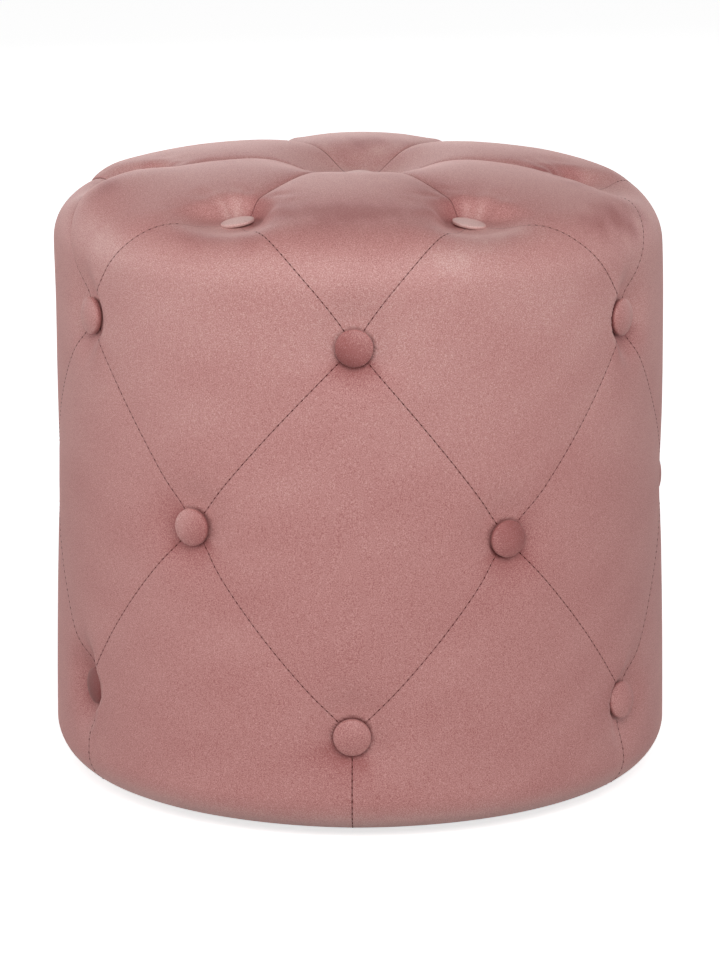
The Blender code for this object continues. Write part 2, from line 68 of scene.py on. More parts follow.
FINE_ROWS, FINE_COLUMNS = 0.0022, 65  # spacing of a panel's rows, and columns closer towards its seams
NET_ROWS, NET_COLUMNS = 0.006, 17  # the same for the net that is simulated
SIMULATED_FRAMES = 20
PANEL_TIP = 0.0015  # a panel's closed ends stop this far short of the middle of a button
WIDEST_SLIT = 0.2  # most of a panel's width that half a slit takes up, near the panel's tips
LIP_WIDTH = 0.0015  # distance from a seam over which the cloth turns in
SEAM_SHADE, SEAM_SHADE_WIDTH, RING_SHADE_WIDTH = 0.55, 0.0003, 0.001  # painted shade in a seam, and round a button
SEAM_SAMPLES = 400  # steps along a seam
STITCH_REACH, STITCH_SINK = 0.001, 0.0001  # length each way that turns a stitch, and how deep it lies
FOAM_SAMPLES, FOAM_REACH, FOAM_CLEARANCE = 1500, 0.03, 0.0008  # how the foam is pressed in behind the cover
FACING_OUT = 0.2  # least cosine between the foam's outside and the form
HELD_FIRM = 0.5  # hold of a button from which the net doesn't move
FOAM_SHARP, GLIDE_SHARP = math.radians(40), math.radians(35)  # steeper edges than this stay sharp

# Folds that run out from a button
TOP_FOLD_LENGTH, SIDE_FOLD_LENGTH = 0.013, 0.008  # lengths over which they die away
FOLD_START = 0.003  # length over which they rise
FOLD_STRAY, FOLD_SPREADS, FOLD_RISES = 0.05, (0.09, 0.17), (0.4, 1)  # off their bearing, wide and high

# Cosines off a bearing, from where something starts to where it is full: a pit's reach, painted shade round a
# button, painted shade and light beside it
REACH_FAN, RING_SHADE_FAN, PAINTED_SHADING_FAN = (-0.3, 0.7), (-0.3, 0.5), (0.4, 0.8)

# Smooth random fields: seed, shortest and longest wave
PADDING_WAVES, DRIFT_WAVES, CLOUD_WAVES = (11, 0.07, 0.16), (21, 0.03, 0.09), (23, 0.012, 0.04)

# How the pile lies, where 1 is brushed over and -1 is looked into, with painted shade and light laid in
TOP_PAINTED_SHEEN = 0.3  # painted sheen: the top darker towards the front and paler towards the back
SIDE_PAINTED_SHADE, SIDE_PAINTED_SHADE_LENGTH = 0.28, 0.2  # painted shade, darker down the side, and the length over which that grows
DRIFT, CLOUDS = 0.04, 0.35  # a slight drift everywhere, and the unevenness of the brush marks and painted shade
FOOT_PAINTED_LIGHT_GROWS, FOOT_PAINTED_LIGHT_ENDS = 0.028, 0.008  # lengths over which painted light on the rounded foot grows and ends
TOP_PAINTED_SHADING_LENGTH, SIDE_PAINTED_SHADING_LENGTH = 0.014, 0.011  # lengths over which painted shade and light beside a button die away
FOLD_PAINTED_HIGHLIGHT = 250  # painted highlight on a fold's crest, for each metre of its height
TUFT_LEAN = 0.36  # how far single tufts differ from the pile around them
GLOSS_FULL = 0.4  # share of the way to brushed over at which the pile has its full gloss

# A button's face and back, from the edge in: width of each ring as a part of the radius, and rise of the dome
BUTTON_FACE = ((0.06, 0.16), (0.08, 0.2), (0.22, 0.34), (0.26, 0.22), (0.2, 0.08))
BUTTON_BACK = ((0.06, 0.2), (0.14, 0.0), (0.3, 0.0), (0.3, 0.0))
BUTTON_SIDE, LEAST_SIDE = (0.3, 0.9), 0.3  # where the painted shade on its side fades, as parts of its edge, and the least of it
TOP_BUTTON_SCALE = (0.9, 0.9, 0.6, 1)  # buttons on the ring of the top are smaller and flatter

LINING_RINGS, RING_SPREAD = 30, 0.7  # rings of the dust cover's mesh, closer towards its edge
LINING_SPOKES = 4  # spokes of that mesh for each staple
LINING_SAG, SAG_FALL = 0.00035, 8  # how far it sags between staples, and how soon that dies away inwards
STAPLE_BEVEL, STAPLE_DROP = 0.3, 0.75  # its bevel, and its middle below the dust cover, as parts of its wire
GLIDES = 4
GLIDE_FOOT, NAIL_HOLLOW = 0.004, 0.0012  # height of a glide's foot, and depth of the hollow for its nail
GLIDE_RING, NAIL_RING = 0.55, 0.06  # ring round that hollow, and its wall, as parts of a glide's radius

# Lamps: name, place, width and height
LAMPS = (
    ("key", (0.43, -2.8, 2.25), 3.0, 1.6),
    ("left", (-2.6, -0.6, 0.9), 1.6, 1.6),
    ("right", (2.6, -0.6, 0.9), 1.6, 1.6),
    ("back", (-0.6, 2.6, 1.5), 1.6, 1.6),
)
LAMP_AIM = Vector((0, 0, 0.2))
FLOOR_SIZE = 40
OVERHEAD_FROM = 0.62  # height in the sky, from 0 to 1, where only the overhead light is left

Spot = namedtuple("Spot", "angle s")
Tie = namedtuple("Tie", "row spot pit reach ways lift lean_out lean_side face shade ring smudges folds seed")


# Settings

def size(name, metres, description):
    return FloatProperty(name=name, description=description, default=metres, unit="LENGTH", precision=5)


def share(name, value, description):
    return FloatProperty(name=name, description=description, default=value, min=0.0, subtype="FACTOR")


def turn(name, degrees, description):
    return FloatProperty(name=name, description=description, default=math.radians(degrees), unit="ROTATION")


def colour(name, code, description):
    return StringProperty(name=name, description=description, default=code)


def power(name, watts):
    description = f"Power of the {name.lower()} light"
    return FloatProperty(name=name, description=description, default=watts, unit="POWER")


class CoverSizes(bpy.types.PropertyGroup):
    """Sizes of the sewn cover."""

    base_radius: size("Base radius", 0.2012, "Side of the cover, carried down to its foot")
    top_radius: size("Top radius", 0.1957, "Side of the cover, carried up to its crown")
    height: size("Height", 0.4042, "Foot of the cover to its crown")
    foot: size("Foot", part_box("lower_panel_1")[0].z, "Level of the cover's foot")
    crown_curve: size("Crown", 0.665, "Radius of the domed top")
    rim_round: size("Rim", 0.0405, "Rounding between top and side")
    foot_round: size("Foot rounding", 0.0245, "Rounding between side and base")
    hem_radius: size("Hem", 0.152, "Inner edge of the cover under the base")
    thickness: size("Cloth", 0.0015, "Thickness of velvet and backing")
    seam_gap: size("Seam gap", 0.0002, "Width of the slit that a seam leaves")
    seam_lip: size("Seam lip", 0.003, "Depth to which the cloth turns in at a seam")
    top_seam: size("Top seams", 0.0078, "Depth of the top's seams below the crown of their panels")
    side_seam: size("Side seams", 0.0018, "Depth of the side's seams")
    seam_bow: share("Seam bow", 0.1, "How far the seams over the rim bow, as a part of their width")
    seam_ease: size("Seam ease", 0.02, "Length over which seams grow shallow before the ring of buttons")
    top_fullness: share("Top fullness", 0.30, "The lower, the more quickly a top panel swells")
    side_fullness: share("Side fullness", 0.6, "The lower, the more quickly a side panel swells")
    top_slack: size("Top slack", 0.0015, "How far a top panel hangs in until its padding pushes it out")
    side_slack: size("Side slack", 0.0005, "The same for a side panel")
    puff_limit: size("Puff", 0.003, "Farthest that the padding may push a panel out")
    hand_wave: size("Unevenness", 0.0002, "Soft unevenness of the padding")
    stitch_length: size("Stitch", 0.0016, "Length of the thread that shows at a stitch")
    stitch_pitch: size("Stitch pitch", 0.0044, "Stitch to stitch along a seam")
    thread_radius: size("Thread", 0.0004, "Radius of the sewing thread")
    bare_seam: size("Bare seam", 0.036, "Length over which seams hide their stitches after that ring")


class ButtonSizes(bpy.types.PropertyGroup):
    """Sizes of the buttons, their pits and their rows."""

    radius: size("Radius", 0.0119, "Radius of a covered button")
    edge: size("Edge", 0.0030, "Height of a button's side")
    crown: size("Crown", 0.0056, "Height of a button's middle")
    centre_pit: size("Centre pit", 0.0155, "How far the middle button draws in the cover")
    top_pit: size("Top pits", 0.0110, "How far the ring of top buttons draws in the cover")
    side_pit: size("Side pits", 0.0034, "How far the side's buttons draw in the cover")
    centre_reach: size("Centre reach", 0.032, "Spread of the middle pit's wall")
    top_reach: size("Top reach", 0.009, "Spread of a top pit's wall, on the side of the crown")
    rim_reach: size("Rim reach", 0.026, "Spread of a top pit's wall, on the side of the rim")
    side_reach: size("Side reach", 0.015, "Spread of a side pit's wall")
    margin: size("Margin", 0.001, "Flat ring round a button on the floor of its pit")
    top_lift: size("Top lift", 0.0003, "Height of a top button's back above its pit's floor")
    side_lift: size("Side lift", 0.0013, "Height of a side button's back above its pit's floor")
    top_lean: turn("Top lean", 6.0, "How much more level than the form the ring of top buttons sits")
    ring_inset: size("Ring inset", 0.0492, "Ring of top buttons, in from the side")
    upper_drop: size("Upper row", 0.0935, "Upper row, below the crown")
    lower_height: size("Lower row", 0.0647, "Lower row, above the foot")
    top_pleat: size("Top pleats", 0.0030, "Height of the folds that run out from a top button")
    side_pleat: size("Side pleats", 0.0003, "Height of the folds that run out from a side button")
    twine_radius: size("Twine", 0.0013, "Radius of the twine behind a button")
    toggle_radius: size("Toggle", 0.006, "Radius of the toggle that a button is tied to")
    toggle_thickness: size("Toggle thickness", 0.003, "Thickness of that toggle")
    toggle_edge: size("Toggle edge", 0.0008, "Rounding of its edge")


class ClothLook(bpy.types.PropertyGroup):
    """Colours of cloth, thread and padding, as sRGB hex values."""

    # Deep rose also stands for painted shade and pale rose for painted light, and the crease colour is
    # painted shade in the seams and round the buttons
    deep: colour("Deep rose", "#A56765", "Velvet, looking into the pile")
    rose: colour("Rose", "#C68B87", "Velvet, as it lies")
    pale: colour("Pale rose", "#E3BFB9", "Velvet, where the pile is brushed over")
    crease: colour("Crease", "#6A2E2D", "Velvet, down in a seam")
    sheen: colour("Sheen", "#FFD0CB", "Light on the tips of the pile")
    gloss: colour("Gloss", "#FFF5F2", "Light on the lie of the pile")
    dull: colour("Dull", "#4A2422", "Light on the pile where it is looked into")
    thread: colour("Thread", "#5E1F1D", "Sewing thread")
    foam: colour("Foam", "#E7DDBF", "Upholstery foam")
    twine: colour("Twine", "#C9B48C", "Twine and toggles that hold the buttons")
    fibre: colour("Fibreboard", "#8A6A48", "Rolled fibreboard of the drum")
    plywood: colour("Plywood", "#C8A878", "Plywood boards")
    lining: colour("Lining", "#232325", "Dust cover under the base")
    nylon: colour("Nylon", "#1B1B1C", "Glides")
    steel: colour("Steel", "#B9BBBE", "Staples and nails")


class BaseSizes(bpy.types.PropertyGroup):
    """Sizes of what is under the base."""

    lining_thickness: size("Lining", 0.0006, "Thickness of the dust cover")
    staples: IntProperty(name="Staples", description="Staples round the dust cover", default=48, min=12)
    staple_width: size("Staple width", 0.010, "Length of a staple's crown")
    staple_wire: size("Staple wire", 0.0005, "Thickness of a staple's crown")
    staple_inset: size("Staple inset", 0.006, "Staples, in from the edge of the dust cover")
    glide_edge: size("Glide edge", 0.0012, "Rounding of a glide's foot")
    nail_radius: size("Nail radius", 0.0012, "Radius of a glide's nail")


class StageSizes(bpy.types.PropertyGroup):
    """Camera and light."""

    distance: size("Distance", 2.945, "Camera to the point it looks at")
    aim: size("Aim", 0.1865, "Height of the point that the camera looks at")
    elevation: turn("Elevation", 13.62, "Camera's height above the horizon")
    yaw: turn("Yaw", 1.96, "Camera's turn towards +X")
    lens: FloatProperty(name="Lens", description="Focal length", default=168.0, unit="CAMERA")
    key_power: power("Key", 64.3)
    left_power: power("Left", 13.6)
    right_power: power("Right", 2.2)
    back_power: power("Back", 9.1)
    fill: share("Fill", 1.35, "Strength of the light from all round, level with the pouf")
    overhead: share("Overhead", 0.1, "Strength of the light from above")
    paper: colour("Paper", "#F4F4F4", "Floor, as the camera sees it")
    dim_paper: colour("Dim paper", "#B7B7B7", "Floor, as it throws light back")
    glow: colour("Glow", "#FFFFFF", "Light that the floor gives off to the camera")
    glow_strength: share("Glow strength", 0.7, "Strength of that light")


class PoufSettings(bpy.types.PropertyGroup):
    """Everything that can be set on the pouf."""

    cover: PointerProperty(type=CoverSizes)
    button: PointerProperty(type=ButtonSizes)
    look: PointerProperty(type=ClothLook)
    base: PointerProperty(type=BaseSizes)
    stage: PointerProperty(type=StageSizes)


# How the buttons that were tied by eye differ: rise up the cover, sink deeper in, lean out at the top or to
# the side, and ways, the pit's reach along some bearings. Face is how the pile lies on it, with painted light
# and shade laid in (1 is brushed over and pale, -1 is looked into, and below -1 it takes on the painted shade
# of the crease colour, in full at -2), and shade is the bearing and amount of its painted lighter side. Ring
# is the bearing of the painted shade round it, with how dark it is there and opposite. Smudges are painted
# shade round it (painted light where the depth is below zero), each with a bearing and a depth, and folds run
# out along bearings. Bearings are in degrees, from the right to the top.
HAND_TIES = {
    "top_button_1": {
        "side": math.radians(8),
        "smudges": ((130, 1.0), (75, -0.3), (-90, -0.5)),
        "folds": (86, 66, 40),
    },
    "top_button_6": {
        "side": math.radians(-8),
        "smudges": ((50, 1.0), (115, -0.3), (-90, -0.5)),
        "folds": (102, 124, 146),
    },
    "upper_button_1": {"face": -0.95, "shade": (50, 0.55), "ring": (-60, 1.0, 0.4), "smudges": ((-90, 1.2),)},
    "upper_button_6": {"sink": 0.001, "ways": ((0, 0.004),), "face": -0.1, "ring": (-20, 0.15, 0.0)},
    "upper_button_2": {
        "sink": 0.0025,
        "ways": ((180, 0.003),),
        "face": -0.2,
        "ring": (180, 0.8, 0.2),
        "smudges": ((-75, 1.5),),
    },
    "middle_button_5": {"sink": 0.004, "ways": ((0, 0.005),)},
    "middle_button_2": {"sink": 0.0027, "ways": ((180, 0.005),)},
    "middle_button_6": {
        "rise": 0.0036,
        "face": -0.4,
        "shade": (160, 0.5),
        "ring": (30, 0.55, 0.4),
        "smudges": ((-90, 1.0), (180, 0.7)),
    },
    "middle_button_1": {
        "rise": -0.0018,
        "face": -1.0,
        "shade": (-150, 0.35),
        "ring": (-70, 1.0, 0.6),
        "smudges": ((0, 0.6), (-90, 0.9)),
    },
    "lower_button_1": {"shade": (90, 0.0), "ring": (110, 1.0, 0.8), "smudges": ((-110, 1.0),)},
    "lower_button_6": {
        "rise": 0.0030,
        "sink": 0.0055,
        "ways": ((0, 0.002),),
        "face": -1.7,
        "ring": (0, 1.0, 0.8),
        "smudges": ((180, 0.7), (-120, 0.6)),
    },
    "lower_button_2": {
        "rise": -0.0038,
        "sink": 0.002,
        "ways": ((160, 0.003),),
        "side": math.radians(-9),
        "out": math.radians(-7),
        "ring": (150, 0.9, 0.1),
        "smudges": ((150, 0.5),),
    },
}
# How the pile lies on each row's buttons; the centre and the top ring are painted pale, standing in for the
# sheen they show along the surface
ROW_FACE = {"centre": 0.9, "top": 1.0, "upper": -0.45, "middle": -0.5, "lower": -0.4}
# Painted shade and light beside the top buttons, and painted shade below a side button and round it
TOP_PAINTED_SHADING, TOP_FOLDS = ((55, 0.7), (125, 0.7), (-90, -0.3)), (60, 85, 120)
SIDE_PAINTED_SHADING, SIDE_RING_SHADE, SIDE_FOLDS = ((-90, 0.8),), (-90, 0.8, 0.2), tuple(range(0, 360, 40))
NO_SHADE, NO_RING_SHADE = (0, 0.0), (0, 0.0, 0.0)
SHADE_STEP, SIDE_SHADE = 137, 0.25  # turn of a button's painted lighter side from button to button, and its amount

# Diamonds between four side buttons whose seams bow out (or in), as a part of their width, above and below
FULL_DIAMONDS = {1: (0.03, 0.05), 6: (0.035, -0.055), 2: (-0.025, -0.03)}

# Marks in the pile, partly brush marks and partly painted shade and light: angle in degrees, way down from
# the crown's middle, half its length round the drum, half its length down it, and depth. Where that is below
# zero, the mark is paler.
BRUSH_AND_SHADE_MARKS = (
    (0, 0.152, 0.050, 0.018, 0.6),
    (0, 0.096, 0.045, 0.020, -0.2),
    (28, 0.108, 0.018, 0.020, 0.4),
    (-68, 0.172, 0.022, 0.012, 0.4),
    (-28, 0.188, 0.045, 0.009, 0.35),
    (33, 0.180, 0.035, 0.012, -0.35),
    (64, 0.191, 0.032, 0.015, 0.9),
    (92, 0.118, 0.025, 0.018, 0.5),
    (-79, 0.087, 0.030, 0.020, 0.4),
    (-94, 0.130, 0.030, 0.012, -0.4),
    (19, 0.200, 0.020, 0.010, -0.3),
    (-57, 0.203, 0.025, 0.012, -0.3),
    (78, 0.142, 0.020, 0.014, 0.45),
    (150, 0.165, 0.060, 0.014, 0.4),
    (-140, 0.175, 0.050, 0.012, 0.4),
    (-105, 0.186, 0.040, 0.010, 0.4),
    (110, 0.180, 0.035, 0.014, 0.25),
    (180, 0.060, 0.042, 0.030, 0.5),
)

# Where the padding was packed fuller: angle, share of the way over the rim, spread and height
STUFFED = (
    (math.radians(-75), -0.1, 0.042, 0.0085),
    (math.radians(-97), 0.35, 0.05, 0.005),
)


# The form under the cover

def mix(a, b, part):
    return a + (b - a) * part


def smooth_step(start, end, value):
    part = np.clip((value - start) / (end - start), 0.0, 1.0)
    return part * part * (3 - 2 * part)


def towards(bearing, degrees, fan):
    """1 along this bearing and 0 well off it."""
    return smooth_step(*fan, np.cos(bearing - math.radians(degrees)))


def half_turn(angle):
    """The same angle between -pi and pi."""
    return (angle + math.pi) % math.tau - math.pi


class CoverForm:
    """The smooth turned form that the cover is drawn in from, and the places of buttons and seams on it.

    A place is an angle, from the front (-Y) towards +X, and s, the length along the outline from the middle
    of the crown, over the rim and down to the hem.
    """

    def __init__(self, settings):
        self.cover = settings.cover
        self.button = settings.button
        self.crown = self.cover.foot + self.cover.height
        self.legs = self.outline_legs()
        ends = np.cumsum([length for _, length in self.legs])
        self.rim_start, self.rim_end, self.foot_start, self.foot_end, self.hem_end = ends
        self.row_s = self.rows_along()
        self.ties = self.all_ties()

    def outline_legs(self):
        """Curvature and length of each stretch, each tangent to the last: crown, rim, side, foot, hem."""
        cover = self.cover
        taper = math.atan2(cover.base_radius - cover.top_radius, cover.height)
        crown_centre = cover.height - cover.crown_curve
        reach = cover.base_radius * math.cos(taper) - crown_centre * math.sin(taper) - cover.rim_round
        crown_turn = math.asin(reach / (cover.crown_curve - cover.rim_round)) - taper
        upright = math.pi / 2 - taper
        rim_end = crown_centre + (cover.crown_curve - cover.rim_round) * math.cos(crown_turn)
        rim_end += cover.rim_round * math.sin(taper)
        foot_start = cover.foot_round * (1 + math.sin(taper))
        hem_start = cover.base_radius - foot_start / math.cos(taper)
        return [
            (1 / cover.crown_curve, cover.crown_curve * crown_turn),
            (1 / cover.rim_round, cover.rim_round * (upright - crown_turn)),
            (0.0, (rim_end - foot_start) / math.cos(taper)),
            (1 / cover.foot_round, cover.foot_round * (math.pi - upright)),
            (0.0, hem_start - cover.hem_radius),
        ]

    def outline(self, s):
        """Radius, height and outward normal (across, up) of the form at each s."""
        left = np.array(s, float)
        r, z, heading = np.zeros_like(left), np.full_like(left, self.crown), np.zeros_like(left)
        for curvature, length in self.legs:
            step = np.clip(left, 0.0, length)
            turned = heading + curvature * step
            if curvature:
                r += (np.sin(turned) - np.sin(heading)) / curvature
                z += (np.cos(turned) - np.cos(heading)) / curvature
            else:
                r += step * np.cos(heading)
                z -= step * np.sin(heading)
            heading = turned
            left = left - step
        return r, z, np.sin(heading), np.cos(heading)

    def point(self, angle, s, depth=0.0):
        """The points this far below the form."""
        r, z, across, up = self.outline(s)
        r = r - depth * across
        return np.stack([r * np.sin(angle), -r * np.cos(angle), z - depth * up], axis=-1)

    def normal(self, angle, s):
        _, _, across, up = self.outline(s)
        return np.stack([across * np.sin(angle), -across * np.cos(angle), up], axis=-1)

    def side(self, spot):
        """Level direction along the cover, towards greater angles."""
        return np.array([math.cos(spot.angle), math.sin(spot.angle), 0.0])

    def rows_along(self):
        """s of each row of buttons."""
        cover, button = self.cover, self.button
        _, rim_z, upright, _ = self.outline(self.rim_end)
        pitch = (cover.height - button.upper_drop - button.lower_height) / 2
        ring_radius = cover.top_radius - button.ring_inset
        rows = {"top": cover.crown_curve * math.asin(ring_radius / cover.crown_curve)}
        for row, steps in (("upper", 2), ("middle", 1), ("lower", 0)):
            height = button.lower_height + steps * pitch
            rows[row] = self.rim_end + float((rim_z - cover.foot - height) / upright)
        return rows

    def seam_depth(self, s):
        """Deep on the thick top pad, shallow on the side and nothing under the base.

        It changes evenly under a top button, so that the floor of the pit leans as the button does.
        """
        cover, button = self.cover, self.button
        seat = button.radius + button.margin
        cap_start = self.row_s["top"] - seat
        behind_cap = cover.side_seam + 2 * seat * math.tan(button.top_lean)
        depth = mix(cover.top_seam, behind_cap, smooth_step(cap_start - cover.seam_ease, cap_start, s))
        depth = depth - (behind_cap - cover.side_seam) * np.clip((s - cap_start) / (2 * seat), 0.0, 1.0)
        return depth * (1 - smooth_step(self.foot_start, self.foot_end, s))

    def spot(self, row, index):
        """Where a button sits. An index past the last one goes on round the drum."""
        rise = HAND_TIES.get(f"{row}_button_{index % AROUND + 1}", {}).get("rise", 0.0)
        return Spot((index + STAGGER[row]) * PITCH, self.row_s[row] - rise)

    def along_seam(self, start, end, part):
        """Angles and s this part of the way down a seam, which bows over the rim and round a full diamond."""
        bow = np.where(start[1] == self.row_s["top"], self.cover.seam_bow, 0.0)
        for number, (above, below) in FULL_DIAMONDS.items():
            bow = np.where(self.is_at(start, self.spot("upper", number - 1)), above, bow)
            bow = np.where(self.is_at(end, self.spot("lower", number - 1)), -below, bow)
        bow = bow * 4 * part * (1 - part)
        return np.stack([mix(start[0], end[0], part + bow), mix(start[1], end[1], part)])

    def is_at(self, place, spot):
        return np.isclose(place[1], spot.s) & np.isclose(np.cos(place[0] - spot.angle), 1.0)

    def all_ties(self):
        """How every button is tied, by the name of its node."""
        button = self.button
        ties = {
            "top_centre_button": Tie(
                row="centre",
                spot=Spot(0.0, 0.0),
                pit=button.centre_pit,
                reach=button.centre_reach,
                ways=(),
                lift=button.top_lift,
                lean_out=0.0,
                lean_side=0.0,
                face=ROW_FACE["centre"],
                shade=NO_SHADE,
                ring=NO_RING_SHADE,
                smudges=(),
                folds=TOP_FOLDS,
                seed=0,
            )
        }
        for row in self.row_s:
            on_top = row == "top"
            for index in range(AROUND):
                name = f"{row}_button_{index + 1}"
                hand = HAND_TIES.get(name, {})
                ties[name] = Tie(
                    row=row,
                    spot=self.spot(row, index),
                    pit=(button.top_pit if on_top else button.side_pit) + hand.get("sink", 0.0),
                    reach=button.top_reach if on_top else button.side_reach,
                    ways=((-90, button.rim_reach),) if on_top else hand.get("ways", ()),
                    lift=button.top_lift if on_top else button.side_lift,
                    lean_out=-button.top_lean if on_top else hand.get("out", 0.0),
                    lean_side=hand.get("side", 0.0),
                    face=hand.get("face", ROW_FACE[row]),
                    shade=hand.get("shade", (SHADE_STEP * len(ties), SIDE_SHADE)),
                    ring=NO_RING_SHADE if on_top else hand.get("ring", SIDE_RING_SHADE),
                    smudges=hand.get("smudges", TOP_PAINTED_SHADING if on_top else SIDE_PAINTED_SHADING),
                    folds=hand.get("folds", TOP_FOLDS if on_top else SIDE_FOLDS),
                    seed=len(ties),
                )
        return ties

    def tie_at(self, row, index):
        return self.ties[f"{row}_button_{index % AROUND + 1}"]

    def hold(self, points, ties):
        """How firmly buttons hold the cover at each point, from 0 to 1, and how far the firmest draws it."""
        firmest, pit = np.zeros(points.shape[:-1]), np.zeros(points.shape[:-1])
        for tie in ties:
            beyond, bearing = self.round_tie(tie, points)
            beyond = np.maximum(0.0, beyond - self.button.margin)
            reach = tie.reach
            for heading, reach_there in tie.ways:
                reach = mix(reach, reach_there, towards(bearing, heading, REACH_FAN))
            hold = np.exp(-((beyond / reach) ** 2))
            pit = np.where(hold > firmest, tie.pit, pit)
            firmest = np.maximum(hold, firmest)
        return firmest, pit

    def round_tie(self, tie, points):
        """Distance beyond a button's edge and bearing from its right, of each point."""
        up, side = self.normal(*tie.spot), self.side(tie.spot)
        away = points - self.point(*tie.spot)
        beyond = np.maximum(0.0, np.linalg.norm(away, axis=-1) - self.button.radius)
        return beyond, np.arctan2(away @ np.cross(up, side), away @ side)

    def ring(self, tie, bearing):
        """How dark the painted shade round a button is along each bearing."""
        heading, near, opposite = tie.ring
        return mix(opposite, near, towards(bearing, heading, RING_SHADE_FAN))

    def pleats(self, points, ties):
        """Height of the folds that run out from the buttons."""
        height = np.zeros(points.shape[:-1])
        for tie in ties:
            random = np.random.default_rng(tie.seed)
            beyond, bearing = self.round_tie(tie, points)
            on_top = tie.row in ("top", "centre")
            length = TOP_FOLD_LENGTH if on_top else SIDE_FOLD_LENGTH
            fall = np.exp(-beyond / length) * smooth_step(0.0, FOLD_START, beyond)
            folds = np.zeros_like(height)
            for heading in np.radians(tie.folds):
                heading += random.uniform(-FOLD_STRAY, FOLD_STRAY)
                width, rise = random.uniform(*FOLD_SPREADS), random.uniform(*FOLD_RISES)
                folds += rise * np.exp(-((half_turn(bearing - heading) / width) ** 2))
            height += (self.button.top_pleat if on_top else self.button.side_pleat) * fall * folds
        return height

    def nap(self, angle, s, ties):
        """How the pile lies, with painted shade and light laid in: from 0, looked into and painted shade, to
        1, brushed over and painted light.

        The top is painted darker towards the front and paler towards the back, standing in for the velvet's
        sheen, the side darker towards its foot, and the rounded foot paler. Painted shade and light lie round
        the buttons, and the folds by the top buttons are painted lighter on their crests.
        """
        points = self.point(angle, s)
        on_top = 1 - smooth_step(self.row_s["top"], self.rim_end, s)
        # painted sheen, darker towards the front of the top, plus a slight random drift everywhere
        lie = -TOP_PAINTED_SHEEN * on_top * np.cos(angle) + self.waves(points, *DRIFT_WAVES) * DRIFT
        # painted shade, darker down the side towards its foot
        lie = lie - SIDE_PAINTED_SHADE * smooth_step(self.rim_end, self.rim_end + SIDE_PAINTED_SHADE_LENGTH, s)
        # painted light on the rounded foot, which turns down away from the light
        pale = smooth_step(self.foot_start, self.foot_start + FOOT_PAINTED_LIGHT_GROWS, s)
        lie = lie + pale * (1 - smooth_step(self.foot_end - FOOT_PAINTED_LIGHT_ENDS, self.foot_end, s))
        clouds = 1 + CLOUDS * self.waves(points, *CLOUD_WAVES)
        # brush marks in the pile, and painted shade and light
        for heading, down, long, wide, depth in BRUSH_AND_SHADE_MARKS:
            around = half_turn(angle - math.radians(heading)) * self.outline(down)[0]
            lie = lie - depth * clouds * np.exp(-((around / long) ** 2) - ((s - down) / wide) ** 2)
        # painted shade beside the buttons, and painted light where the depth is below zero
        for tie in ties:
            beyond, bearing = self.round_tie(tie, points)
            length = TOP_PAINTED_SHADING_LENGTH if tie.row == "top" else SIDE_PAINTED_SHADING_LENGTH
            for heading, depth in tie.smudges:
                lie -= depth * towards(bearing, heading, PAINTED_SHADING_FAN) * np.exp(-beyond / length)
        # painted highlight on the crests of the folds that run out from the top buttons
        lie += FOLD_PAINTED_HIGHLIGHT * self.pleats(points, [tie for tie in ties if tie.row == "top"])
        return np.clip(0.5 + 0.5 * lie, 0.0, 1.0)

    def waves(self, points, seed, shortest, longest):
        """A smooth random field of about -1 to 1, with these lengths of wave."""
        random = np.random.default_rng(seed)
        count = 7
        total = np.zeros(points.shape[:-1])
        for _ in range(count):
            heading = random.normal(size=3)
            heading /= np.linalg.norm(heading)
            length = random.uniform(shortest, longest)
            total += np.sin(points @ heading * (math.tau / length) + random.uniform(0, math.tau))
        return total / math.sqrt(count / 2)

    def unevenness(self, points):
        """Soft unevenness of padding that was laid by hand."""
        total = self.cover.hand_wave * self.waves(points, *PADDING_WAVES)
        for angle, s, width, rise in STUFFED:
            away = np.linalg.norm(points - self.point(angle, mix(self.rim_start, self.rim_end, s)), axis=-1)
            total += rise * np.exp(-((away / width) ** 2))
        return total


